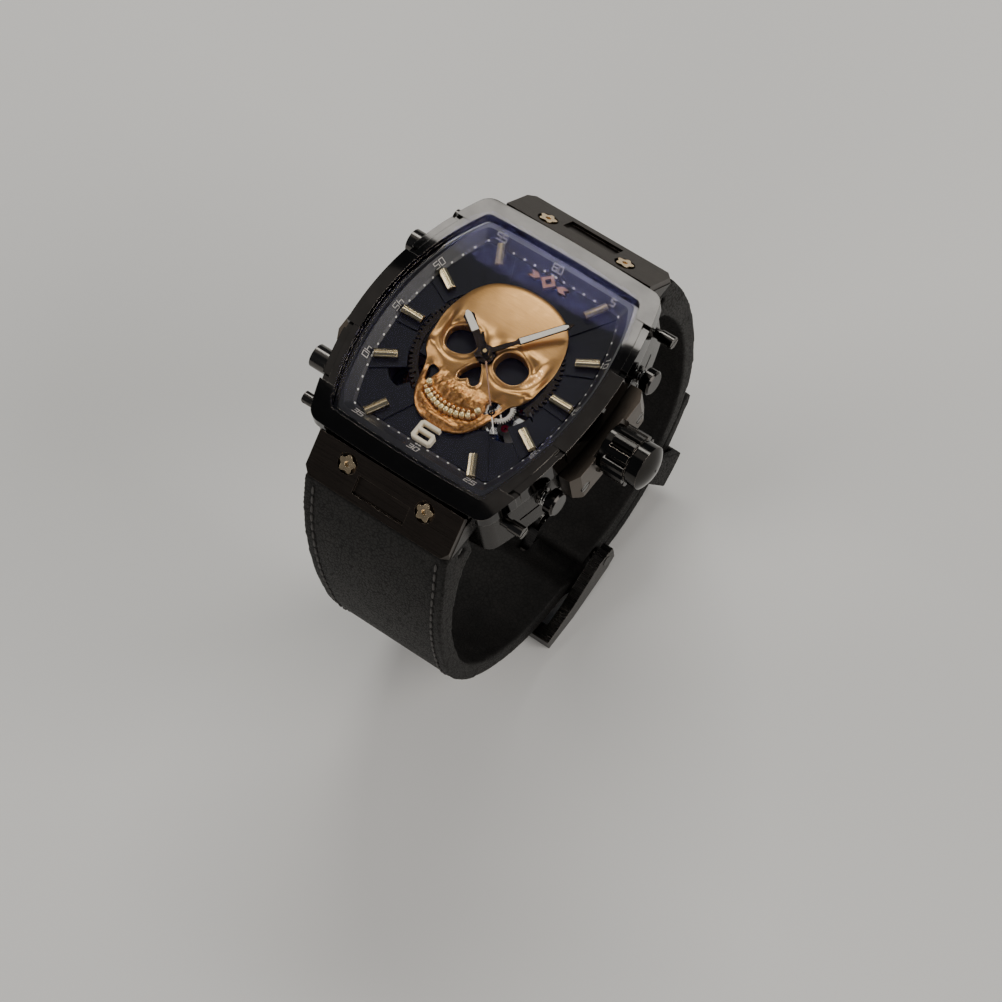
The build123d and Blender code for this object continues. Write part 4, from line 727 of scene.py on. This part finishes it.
def skull_height(P):
    x, y = P[:, 0], P[:, 1]
    ax = np.abs(x)

    def ell(cx, cy, cz, rx, ry, rz, X=x, Y=y):
        u = 1 - ((X - cx) / rx) ** 2 - ((Y - cy) / ry) ** 2
        return cz + rz * np.sqrt(np.clip(u, 0, 1))

    def g(X, Y, cx, cy, sx, sy, rot=0.0):
        c, s = math.cos(rot), math.sin(rot)
        u, v = (X - cx) * c + (Y - cy) * s, -(X - cx) * s + (Y - cy) * c
        return np.exp(-(u / sx) ** 2 - (v / sy) ** 2)

    k = 7.0
    parts = [ell(0, 2.9, 9.55, 11.6, 13.6, 2.45), ell(0, -8.0, 10.0, 7.9, 7.2, 1.75), ell(0, -2.0, 10.0, 10.4, 9.0, 1.45)]
    H = np.log(sum(np.exp(k * (p - 10)) for p in parts)) / k + 10 - 0.06
    # brow ridges, bridge of the nose, cheek bones
    H += 0.34 * g(ax, y, 4.4, 3.15, 3.3, 0.75, rot=0.10)
    H += 0.22 * g(ax, y, 1.75, 2.0, 0.8, 1.3)
    H -= 0.20 * g(x, y, 0, 3.0, 1.1, 1.0)
    H += 0.34 * g(x, y, 0, 0.2, 0.75, 2.0)
    H += 0.42 * g(ax, y, 6.5, -2.9, 2.0, 0.85, rot=0.28)
    H += 0.55 * g(ax, y, 8.62, -2.25, 0.75, 0.75)
    # temples and hollow of the cheek
    H -= 0.62 * g(ax, y, 8.55, 1.3, 0.75, 2.3, rot=-0.12)
    H += 0.28 * g(ax, y, 7.45, 1.2, 0.42, 2.1, rot=-0.10)
    H -= 0.50 * g(ax, y, 5.9, -5.2, 1.2, 1.0)
    H -= 0.22 * g(ax, y, 3.0, -4.6, 1.0, 1.3)
    # upper jaw, teeth bed, chin, angle of the jaw
    H += 0.34 * g(x, y, 0, -6.7, 3.0, 1.1)
    for t in (-2.7, -1.6, -0.55, 0.55, 1.6, 2.7):
        H += 0.11 * g(x, y, t, -7.8 + 0.05 * t * t, 0.32, 0.75)
    yb = -9.85 + 0.07 * x * x
    H -= 0.42 * np.exp(-((y - yb) / 0.95) ** 4) * sm((4.9 - ax) / 0.8)
    H += 0.16 * g(x, y, 0, -11.9, 2.4, 0.7)
    H += 0.22 * g(ax, y, 1.6, -11.75, 1.0, 0.6)
    H -= 0.12 * g(x, y, 0, -11.0, 3.0, 0.35)
    H += 0.34 * g(ax, y, 5.55, -8.9, 0.75, 1.9, rot=-0.28)
    # rolled rims of the sockets and of the nose
    E = np.maximum(sdf(P, eye(1)), sdf(P, eye(-1)))
    H += 0.30 * np.exp(-((-E - 0.30) / 0.24) ** 2)
    H -= 0.12 * np.exp(-((-E - 1.0) / 0.35) ** 2)
    N = sdf(P, nose())
    H += 0.20 * np.exp(-((-N - 0.22) / 0.20) ** 2) * sm((-1.8 - y) / 1.2)
    # hammered lower face
    low = sm((-3.3 - y) / 2.2)
    rough = 0.050 * value_noise(P, 0.95, 3) + 0.026 * value_noise(P, 2.3, 5) + 0.011 * value_noise(P, 4.6, 9)
    H += rough * (0.015 + 1.2 * low)
    dents = value_noise(P, 1.7, 21)
    H -= 0.045 * low * np.clip(dents, 0, 1) ** 2
    H += 0.012 * value_noise(P, 0.6, 11)
    return H


def nose():
    right = [(0.10, -1.45), (0.75, -2.25), (1.25, -3.2), (1.62, -4.1), (1.45, -4.75), (1.0, -4.95), (0.55, -4.62), (0.22, -4.30)]
    pts = [(0, -1.35)] + right + [(0, -4.22)] + [(-x, y) for x, y in reversed(right)]
    return closed_curve(pts, 4)


def slot_poly(sx):
    pts = [(4.45, -5.45), (5.3, -4.95), (6.0, -4.85), (6.25, -5.5), (5.85, -6.5), (5.4, -7.35), (4.95, -7.5), (4.72, -6.6)]
    return closed_curve([(sx * x, y) for x, y in (pts if sx > 0 else pts[::-1])], 4)


def build_skull():
    step = 0.075
    xs = np.arange(-9.9, 9.9 + step, step)
    ys = np.arange(-13.1, 12.8 + step, step)
    X, Y = np.meshgrid(xs, ys, indexing="ij")
    P = np.stack([X.ravel(), Y.ravel()], 1)
    outer = closed_curve(RING, 8)
    th = np.linspace(0, 2 * math.pi, 48, endpoint=False)
    hub = np.stack([1.32 * np.cos(th), 1.32 * np.sin(th)], 1)
    holes = [eye(1), eye(-1), nose(), slot_poly(1), slot_poly(-1), hub]

    def field(Q):
        do = sdf(Q, outer)
        dh = np.min([-sdf(Q, h) for h in holes], axis=0)
        return do, dh

    do, dh = field(P)
    D = np.minimum(do, dh)
    # pull the border vertices onto the outline
    e = 1e-3
    near = np.abs(D) < step * 0.62
    Q = P[near]
    for _ in range(2):
        d0 = np.minimum(*field(Q))
        gx = (np.minimum(*field(Q + [e, 0])) - d0) / e
        gy = (np.minimum(*field(Q + [0, e])) - d0) / e
        nn = np.maximum(np.hypot(gx, gy), 1e-6)
        Q = Q - np.stack([gx / nn * d0, gy / nn * d0], 1)
    P2 = P.copy()
    P2[near] = Q
    do, dh = field(P2)
    do, dh = np.maximum(do, 0), np.maximum(dh, 0)
    keep = (D > -step * 0.62)
    z0 = 10.78
    H = skull_height(P2)
    H = np.minimum(H, 12.16 + 0.02 * np.tanh((H - 12.16) / 0.3))
    t1 = np.clip(do / 1.05, 0, 1)
    t2 = np.clip(dh / 0.20, 0, 1)
    prof = (1 - (1 - t1) ** 2.4) ** 0.5 * (1 - (1 - t2) ** 2) ** 0.5
    Z = z0 + (H - z0) * prof
    nx, ny = len(xs), len(ys)
    idx = -np.ones(nx * ny, int)
    use = np.where(keep)[0]
    idx[use] = np.arange(len(use))
    I = np.arange(nx * ny).reshape(nx, ny)
    a, b, c, d = I[:-1, :-1].ravel(), I[1:, :-1].ravel(), I[1:, 1:].ravel(), I[:-1, 1:].ravel()
    ok = keep[a] & keep[b] & keep[c] & keep[d]
    F = np.stack([idx[a[ok]], idx[b[ok]], idx[c[ok]], idx[d[ok]]], 1)
    V = np.stack([P2[use, 0], P2[use, 1], Z[use]], 1)
    ob = new_object("skull_face", V.tolist(), F.tolist(), mats["skull_gold"])
    bm = bmesh.new()
    bm.from_mesh(ob.data)
    bmesh.ops.delete(bm, geom=[v for v in bm.verts if not v.link_faces], context="VERTS")
    # skirt: the borders go straight down to the plate behind
    border = [e for e in bm.edges if e.is_boundary]
    ret = bmesh.ops.extrude_edge_only(bm, edges=border)
    for v in (g for g in ret["geom"] if isinstance(g, bmesh.types.BMVert)):
        v.co.z = 10.62 * MM
    bm.to_mesh(ob.data)
    bm.free()
    ob.data.polygons.foreach_set("use_smooth", [True] * len(ob.data.polygons))
    piece(ob, "case", ("skull",))

    # dark plate under the skull: painted shade that makes the sockets and openings read black
    inset = outer * 0.985
    s = Soup()
    ring_n = len(inset)
    tops = [(p[0], p[1]) for p in inset]
    s.prism(tops, 10.62, 10.72)
    low = [(p[0] * 0.97, p[1] * 0.97) for p in inset]
    s.prism(low, 10.315, 10.62)
    bk = s.make("skull_socket_shade_plate", M_SOCKET_SHADE, smooth=False)
    # hole for the hand arbors is left by a ring of faces: cut with a boolean
    cut = Soup()
    cut.prism([(1.35 * math.cos(t), 1.35 * math.sin(t)) for t in th], 9.0, 12.0)
    co = cut.make("hub_cutter", M_SOCKET_SHADE, smooth=False)
    md = bk.modifiers.new("hub", "BOOLEAN")
    md.operation, md.object, md.solver = "DIFFERENCE", co, "EXACT"
    bpy.context.view_layer.update()
    dg = bpy.context.evaluated_depsgraph_get()
    me = bpy.data.meshes.new_from_object(bk.evaluated_get(dg))
    bk.modifiers.clear()
    bk.data = me
    if not me.materials:
        me.materials.append(M_SOCKET_SHADE)
    bpy.data.objects.remove(co)
    piece(bk, "case")

    # teeth
    def surf(px, py):
        return float(skull_height(np.array([[px, py]]))[0])

    lo, up = Soup(), Soup()
    for i in range(-5, 5):
        px = (i + 0.5) * 0.80
        py = -10.12 + 0.078 * px * px
        slope = math.atan(2 * 0.078 * px)
        w = 0.80 * (1.0 if abs(px) < 3 else 0.95)
        lo.pad(plan_frame(px, py, 0, slope), w * 0.985 / math.cos(slope), 0.92, 11.1, min(12.20, 12.17 - 0.016 * px * px))
    for i in range(-5, 5):
        px = (i + 0.5) * 0.74
        py = -9.30 + 0.064 * px * px
        slope = math.atan(2 * 0.062 * px)
        up.pad(plan_frame(px, py, 0, slope), 0.56, 0.60, 11.1, min(12.14, 12.10 - 0.018 * px * px), power=2.4)
    for sx in (-1, 1):
        lo.pad(plan_frame(sx * 4.32, -7.75, 0, sx * 1.02), 1.05, 0.95, 10.9, 12.04, power=3.0)
        up.pad(plan_frame(sx * 4.25, -8.72, 0, sx * 0.72), 0.62, 0.62, 10.9, 11.98, power=2.4)
    piece(lo.make("teeth_lower", M_TEETH), "case")
    piece(up.make("teeth_upper", M_TEETH2), "case")


build_skull()

# ------------------------------------------------------------------ hour batons
MARK = {1: 17.2, 5: 17.2, 7: 17.2, 11: 17.2, 2: 14.6, 4: 14.6, 8: 14.6, 10: 14.6, 3: 13.3, 9: 13.3}


def build_batons():
    s = Soup()
    prof = [(-0.66, 10.535), (-0.66, 11.08), (-0.56, 11.30), (-0.20, 11.49), (-0.13, 11.49), (-0.09, 11.36), (0.09, 11.36), (0.13, 11.49),
            (0.20, 11.49), (0.56, 11.30), (0.66, 11.08), (0.66, 10.535)]
    rings = [(-1.80, 0.0), (-1.72, 1.0), (1.72, 1.0), (1.80, 0.0)]
    for hr, r in MARK.items():
        a = math.radians(90 - 30 * hr)
        d = Vector((math.cos(a), math.sin(a), 0))
        n = Vector((-math.sin(a), math.cos(a), 0))
        c = d * r
        vs, fs = [], []
        for u, k in rings:
            for t, z in prof:
                t *= 1.04
                zz = z if k else min(z, 11.20)
                tt = t if k else t * 0.94
                vs.append(c + d * u + n * tt + Vector((0, 0, zz)))
        m = len(prof)
        for j in range(len(rings) - 1):
            for i in range(m):
                p, q = j * m + i, j * m + (i + 1) % m
                fs.append((p, q, q + m, p + m))
        fs.append(tuple(range(m - 1, -1, -1)))
        fs.append(tuple((len(rings) - 1) * m + i for i in range(m)))
        s.add(vs, fs)
    ob = s.make("hour_batons", mats["marker_gold"], smooth=False)
    bv = ob.modifiers.new("soft_edges", "BEVEL")
    bv.width, bv.segments, bv.limit_method = 0.03 * MM, 2, "ANGLE"
    bv.angle_limit = math.radians(25)
    piece(ob, "case", ("hour_markers", "marker_lume"))


build_batons()

# ------------------------------------------------------------------ lume bars of the hands
def lume_bar(name, ang, pts, z0, z1, body, node):
    """A pointed bar with chamfered top edges, along a hand. pts: (r, half width)."""
    a = math.radians(ang)
    d, n = Vector((math.cos(a), math.sin(a), 0)), Vector((-math.sin(a), math.cos(a), 0))
    c = 0.05
    loop = [(r, w) for r, w in pts] + [(r, -w) for r, w in reversed(pts)]
    vs, m = [], len(loop)
    rc = sum(r for r, _ in loop) / m
    for z, k in ((z0, 0.0), (z1 - c, 0.0), (z1, c)):
        for r, w in loop:
            rr = r + (k if r < rc else -k)
            ww = w - math.copysign(min(k, abs(w)), w)
            vs.append(d * rr + n * ww + Vector((0, 0, z)))
    fs = [tuple(range(m - 1, -1, -1)), tuple(2 * m + i for i in range(m))]
    for j in range(2):
        fs += [(j * m + i, j * m + (i + 1) % m, (j + 1) * m + (i + 1) % m, (j + 1) * m + i) for i in range(m)]
    s = Soup()
    s.add(vs, fs)
    piece(s.make(name, mats["lume_cream"], smooth=False), body, (node,))


lume_bar("minute_lume_bar", 53, [(5.2, 0.46), (11.9, 0.40), (12.5, 0.16)], 12.68, 12.93, "centre", "minute_hand_lume")
lume_bar("hour_lume_bar", 147, [(4.15, 0.56), (7.15, 0.50), (7.75, 0.14)], 12.29, 12.53, "hour", "hour_hand_lume")

# ------------------------------------------------------------------ minute track on the flange
rb = NODES["rehaut"].data
rehaut_tree = BVHTree.FromPolygons([v.co[:] for v in rb.vertices], [tuple(p.vertices) for p in rb.polygons])


def on_flange(theta, z):
    d = Vector((math.cos(theta), math.sin(theta), 0))
    hit, nor, _, _ = rehaut_tree.ray_cast(Vector((0, 0, z * MM)) + d * 0.008, d)
    if hit is None:
        return None, None
    if nor.dot(d) > 0:
        nor = -nor
    return hit / MM, nor


def flange_frame(theta, z, lift=0.0, up_in=False):
    p, n = on_flange(theta, z)
    if p is None:
        return None
    ex = Vector((0, 0, 1)).cross(n).normalized()
    ey = n.cross(ex).normalized()
    if ey.z < 0:
        ex, ey = -ex, -ey
    if up_in:
        ex, ey = -ex, -ey
    m = Matrix((ex, ey, n)).transposed().to_4x4()
    m.translation = p + n * lift
    return m


SEG = {
    "0": [[(0, 0), (1, 0), (1, 1.5), (0, 1.5), (0, 0)]],
    "1": [[(0.15, 1.28), (0.5, 1.5), (0.5, 0)]],
    "2": [[(0, 1.5), (1, 1.5), (1, 0.78), (0, 0.78), (0, 0), (1, 0)]],
    "3": [[(0, 1.5), (1, 1.5), (1, 0), (0, 0)], [(0.2, 0.78), (1, 0.78)]],
    "4": [[(0, 1.5), (0, 0.62), (1, 0.62)], [(1, 1.5), (1, 0)]],
    "5": [[(1, 1.5), (0, 1.5), (0, 0.82), (1, 0.82), (1, 0), (0, 0)]],
    "6": [[(1, 1.5), (0, 1.5), (0, 0), (1, 0), (1, 0.82), (0, 0.82)]],
}


def build_track():
    # strip
    s = Soup()
    vs, fs = [], []
    N = 360
    for i in range(N):
        th = 2 * math.pi * (i + 0.5) / N
        for z in (10.36, 10.72):
            p, n = on_flange(th, z)
            vs.append(p + n * 0.015)
    for i in range(N):
        a, b = 2 * i, 2 * ((i + 1) % N)
        fs.append((a, b, b + 1, a + 1))
    s.add(vs, fs)
    piece(s.make("minute_strip", M_TRACK), "case")
    dots, nums = Soup(), Soup()
    for m in range(60):
        th = math.radians(90 - 6 * m)
        f = flange_frame(th, 10.52, 0.02)
        if f is None:
            continue
        if m % 5:
            dots.dome(f, 0.19, 0.15, 0.07)
        else:
            for k in (-0.27, 0.27):
                dots.dome(f @ Matrix.Translation((k, 0, 0)), 0.25, 0.17, 0.08)
    for m in range(5, 65, 5):
        th = math.radians(90 - 6 * m)
        up_in = 15 <= m <= 45
        f = flange_frame(th, 11.28, 0.02, up_in)
        if f is None:
            continue
        txt = str(m)
        w, gap = 0.68, 0.30
        k = 0.68
        total = len(txt) * w + (len(txt) - 1) * gap
        for j, ch in enumerate(txt):
            ox = -total / 2 + j * (w + gap)
            for line in SEG[ch]:
                for (x0, y0), (x1, y1) in zip(line[:-1], line[1:]):
                    p = Vector((ox + x0 * w, (y0 - 0.75) * k, 0))
                    q = Vector((ox + x1 * w, (y1 - 0.75) * k, 0))
                    d = (q - p).normalized()
                    nrm = Vector((-d.y, d.x, 0)) * 0.060
                    p, q = p - d * 0.06, q + d * 0.06
                    nums.prism([(p.x - nrm.x, p.y - nrm.y), (q.x - nrm.x, q.y - nrm.y), (q.x + nrm.x, q.y + nrm.y), (p.x + nrm.x, p.y + nrm.y)], 0.0, 0.03, frame=f)
    piece(dots.make("minute_dots", M_PRINT), "case")
    piece(nums.make("minute_numerals", M_PRINT2, smooth=False), "case")


build_track()


# ------------------------------------------------------------------ fine gears seen in the dial openings
def gear_ring(s, cx, cy, r_in, r_out, r_tip, teeth, z0, z1, duty=0.5):
    n = teeth * 4
    vs, fs = [], []
    prof = []
    for i in range(n):
        a = 2 * math.pi * i / n
        k = i % 4
        prof.append((a, r_tip if k in (1, 2) else r_out))
    for z in (z0, z1):
        for a, r in prof:
            vs.append((cx + r * math.cos(a), cy + r * math.sin(a), z))
        for a, r in prof:
            vs.append((cx + r_in * math.cos(a), cy + r_in * math.sin(a), z))
    for i in range(n):
        j = (i + 1) % n
        o0, o1, i0, i1 = i, j, n + i, n + j
        O0, O1, I0, I1 = 2 * n + i, 2 * n + j, 3 * n + i, 3 * n + j
        fs += [(o0, o1, O1, O0), (i1, i0, I0, I1), (O0, O1, I1, I0), (o1, o0, i0, i1)]
    s.add(vs, fs)


g1 = Soup()
gear_ring(g1, 6.3, -5.4, 1.55, 2.05, 2.42, 40, 10.32, 10.58)
gear_ring(g1, 6.3, -5.4, 0.0001, 0.42, 0.46, 12, 10.32, 10.66)
for k in range(4):
    a = math.radians(45 + 90 * k)
    f = plan_frame(6.3 + 1.0 * math.cos(a), -5.4 + 1.0 * math.sin(a), 0, a)
    g1.prism([(-0.62, -0.13), (0.62, -0.13), (0.62, 0.13), (-0.62, 0.13)], 10.34, 10.54, frame=f)
piece(g1.make("dial_fine_gear", M_GEAR, smooth=False), "case")


# ------------------------------------------------------------------ strap, keeper
def soft_copy(node, name, voxel, smooth, material, body, grow=0.0):
    src = NODES[node]
    me = src.data.copy()
    ob = bpy.data.objects.new(name, me)
    bpy.context.scene.collection.objects.link(ob)
    ob.matrix_world = Matrix.Identity(4)
    w = ob.modifiers.new("weld", "WELD")
    w.merge_threshold = 1e-6
    r = ob.modifiers.new("remesh", "REMESH")
    r.mode, r.voxel_size, r.use_smooth_shade = "VOXEL", voxel * MM, True
    s = ob.modifiers.new("soften", "SMOOTH")
    s.factor, s.iterations = 0.5, smooth
    bpy.context.view_layer.update()
    dg = bpy.context.evaluated_depsgraph_get()
    m2 = bpy.data.meshes.new_from_object(ob.evaluated_get(dg))
    ob.modifiers.clear()
    ob.data = m2
    m2.materials.clear()
    m2.materials.append(material)
    m2.polygons.foreach_set("use_smooth", [True] * len(m2.polygons))
    m2.name = name
    return ob


def half_width(z):
    """Half width of the strap at a height."""
    if z > -2:
        return 12.8
    return 12.8 + (10.6 - 12.8) * min(1.0, (-2 - z) / 42.0)


def circ3(a, b, c, n):
    (ax, ay), (bx, by), (cx, cy) = a, b, c
    d = 2 * (ax * (by - cy) + bx * (cy - ay) + cx * (ay - by))
    ux = ((ax * ax + ay * ay) * (by - cy) + (bx * bx + by * by) * (cy - ay) + (cx * cx + cy * cy) * (ay - by)) / d
    uy = ((ax * ax + ay * ay) * (cx - bx) + (bx * bx + by * by) * (ax - cx) + (cx * cx + cy * cy) * (bx - ax)) / d
    r = math.hypot(ax - ux, ay - uy)
    t = [math.atan2(p[1] - uy, p[0] - ux) for p in (a, b, c)]
    t1 = t[0] + ((t[1] - t[0] + math.pi) % (2 * math.pi) - math.pi)
    t2 = t1 + ((t[2] - t1 + math.pi) % (2 * math.pi) - math.pi)
    return [(ux + r * math.cos(t[0] + (t2 - t[0]) * i / n), uy + r * math.sin(t[0] + (t2 - t[0]) * i / n)) for i in range(n + 1)]


def outer_path(sy):
    pts = circ3((27.5, 5.72), (31.2, -7.5), (32.0, -23.0), 60)
    for i in range(1, 61):
        a = math.radians(-90 * i / 60)
        pts.append((6 + 26 * math.cos(a), -23 + 26 * math.sin(a)))
    return [(sy * y, z) for y, z in pts]


def tail_path():
    pts = [(-0.6 + 6.6 * i / 20, -51.5) for i in range(20)]
    for i in range(0, 61):
        a = math.radians(-90 + 62 * i / 60)
        pts.append((6 + 28.5 * math.cos(a), -23 + 28.5 * math.sin(a)))
    return pts


def along(path, pitch, length, s0, s1):
    """(start, end) pairs of stitches along a 2-D path between arc lengths."""
    P = np.array(path)
    seg = np.hypot(*(P[1:] - P[:-1]).T)
    S = np.concatenate([[0], np.cumsum(seg)])
    out = []
    s = s0
    while s + length < min(s1, S[-1]):
        q = [(np.interp(t, S, P[:, 0]), np.interp(t, S, P[:, 1])) for t in (s, s + length)]
        out.append(q)
        s += pitch
    return out


def crease(ob, path_z_x, depth=0.10, width=0.35):
    """Presses the two stitch channels into the outer surface."""
    me = ob.data
    n = len(me.vertices)
    co = np.zeros(n * 3)
    me.vertices.foreach_get("co", co)
    co = co.reshape(-1, 3)
    no = np.zeros(n * 3)
    me.vertices.foreach_get("normal", no)
    no = no.reshape(-1, 3)
    x, z = co[:, 0] / MM, co[:, 2] / MM
    hw = np.where(z > -2, 12.8, 12.8 - 2.2 * np.clip((-2 - z) / 42.0, 0, 1))
    d = np.abs(np.abs(x) - (hw - 1.7))
    k = np.exp(-(d / width) ** 2)
    face = np.clip(1 - np.abs(no[:, 0]) * 1.6, 0, 1)
    # the channels are pressed in along the normals; faces turned towards the strap's sides are spared
    co -= no * (k * face * depth * MM)[:, None]
    me.vertices.foreach_set("co", co.ravel())
    me.update()


VOX = 0.32
straps = {}
for node, name in (("strap_12", "strap_upper_half"), ("strap_6", "strap_lower_half")):
    ob = soft_copy(node, name, VOX, 3, mats["strap_black"], "case")
    crease(ob, None)
    piece(ob, "case", (node,))
    straps[node] = ob
kp = soft_copy("strap_keeper", "strap_loop", 0.24, 3, mats["strap_black"], "case")
piece(kp, "case", ("strap_keeper",))


def stitch_row(soup, ob, stitches, sx, inward=1.7):
    me = ob.data
    tree = BVHTree.FromPolygons([v.co[:] for v in me.vertices], [tuple(p.vertices) for p in me.polygons])
    for (y0, z0), (y1, z1) in stitches:
        ends = []
        for y, z in ((y0, z0), (y1, z1)):
            x = sx * (half_width(z) - inward)
            t = Vector((0, y1 - y0, z1 - z0)).normalized()
            nrm = Vector((0, -t.z, t.y))
            if nrm.dot(Vector((0, y, z + 23))) < 0:
                nrm = -nrm
            o = Vector((x, y, z)) + nrm * 1.0
            hit, hn, _, _ = tree.ray_cast(o * MM, -nrm)
            if hit is None or (hit / MM - o).length > 2.2:
                ends = None
                break
            ends.append(hit / MM + nrm * 0.10)
        if ends:
            soup.capsule(ends[0], ends[1], 0.20)


st = Soup()
for sx in (-1, 1):
    stitch_row(st, straps["strap_12"], along(outer_path(1), 2.05, 1.55, 1.5, 41.0), sx)
    stitch_row(st, straps["strap_6"], along(outer_path(-1), 2.05, 1.55, 1.5, 68.0), sx)
    stitch_row(st, straps["strap_6"], along(tail_path(), 2.05, 1.55, 3.0, 35.0), sx)
if st.v:
    piece(st.make("strap_stitches", M_THREAD), "case")

# ------------------------------------------------------------------ stage
fl = bmesh.new()
R, n = 2.2, 96
zf = CAD_BOX[0][2]
ring0 = [fl.verts.new((R * math.cos(2 * math.pi * i / n), R * math.sin(2 * math.pi * i / n), zf)) for i in range(n)]
fl.faces.new(ring0)
fm = bpy.data.meshes.new("studio_floor")
fl.to_mesh(fm)
fl.free()
floor = bpy.data.objects.new("studio_floor", fm)
bpy.context.scene.collection.objects.link(floor)
fmat = bpy.data.materials.new("pale_floor")
fmat.use_nodes = True
fp = fmat.node_tree.nodes["Principled BSDF"]
fp.inputs["Base Color"].default_value = (0.86, 0.85, 0.83, 1)
fp.inputs["Roughness"].default_value = 0.75
fm.materials.append(fmat)

world = bpy.data.worlds.new("studio")
world.use_nodes = True
bg = world.node_tree.nodes["Background"]
bg.inputs[0].default_value = (0.80, 0.84, 0.90, 1)
bg.inputs[1].default_value = 0.12
bpy.context.scene.world = world


def area(name, loc, target, size, power, colour=(1, 1, 1), size_y=None):
    d = bpy.data.lights.new(name, "AREA")
    d.energy = power
    d.color = colour
    d.shape = "RECTANGLE" if size_y else "SQUARE"
    d.size = size
    if size_y:
        d.size_y = size_y
    o = bpy.data.objects.new(name, d)
    bpy.context.scene.collection.objects.link(o)
    o.location = loc
    o.rotation_euler = (Vector(target) - Vector(loc)).to_track_quat("-Z", "Y").to_euler()
    return o


C = Vector((0, 0, 0.008))


def panel(name, direction, dist, w, h, radiance, colour):
    """A soft panel of even brightness seen from the object."""
    d = Vector(direction).normalized()
    return area(name, C + d * dist, C, w, radiance * math.pi * w * h, colour, h)


panel("panel_right", (0.86, 0.25, 0.50), 1.2, 0.9, 0.7, 4.2, (1.0, 0.96, 0.91))
panel("panel_left", (-0.88, -0.40, 0.42), 1.2, 0.9, 0.6, 3.0, (1.0, 0.97, 0.93))
panel("panel_back", (-0.24, 0.66, 0.71), 1.0, 0.62, 0.20, 9.0, (1.0, 1.0, 0.95))
panel("panel_front", (0.25, -0.95, 0.45), 1.3, 0.9, 0.5, 1.6, (1.0, 0.96, 0.9))
panel("panel_over", (-0.30, 0.20, 0.93), 1.1, 0.5, 0.5, 0.55, (1.0, 0.93, 0.84))

# ------------------------------------------------------------------ camera
cam_d = bpy.data.cameras.new("photo_camera")
cam_d.lens, cam_d.sensor_width, cam_d.sensor_fit = 120.0, 36.0, "HORIZONTAL"
cam_d.clip_start, cam_d.clip_end = 0.01, 20
cam = bpy.data.objects.new("photo_camera", cam_d)
bpy.context.scene.collection.objects.link(cam)
right, up, back = (0.79801, 0.59375, -0.10313), (-0.49727, 0.74545, 0.44389), (0.34043, -0.30294, 0.89013)
m = Matrix((right, up, back)).transposed().to_4x4()
m.translation = (0.1742, -0.1585, 0.4264)
cam.matrix_world = m
bpy.context.scene.camera = cam

# ------------------------------------------------------------------ final update
bpy.context.view_layer.update()
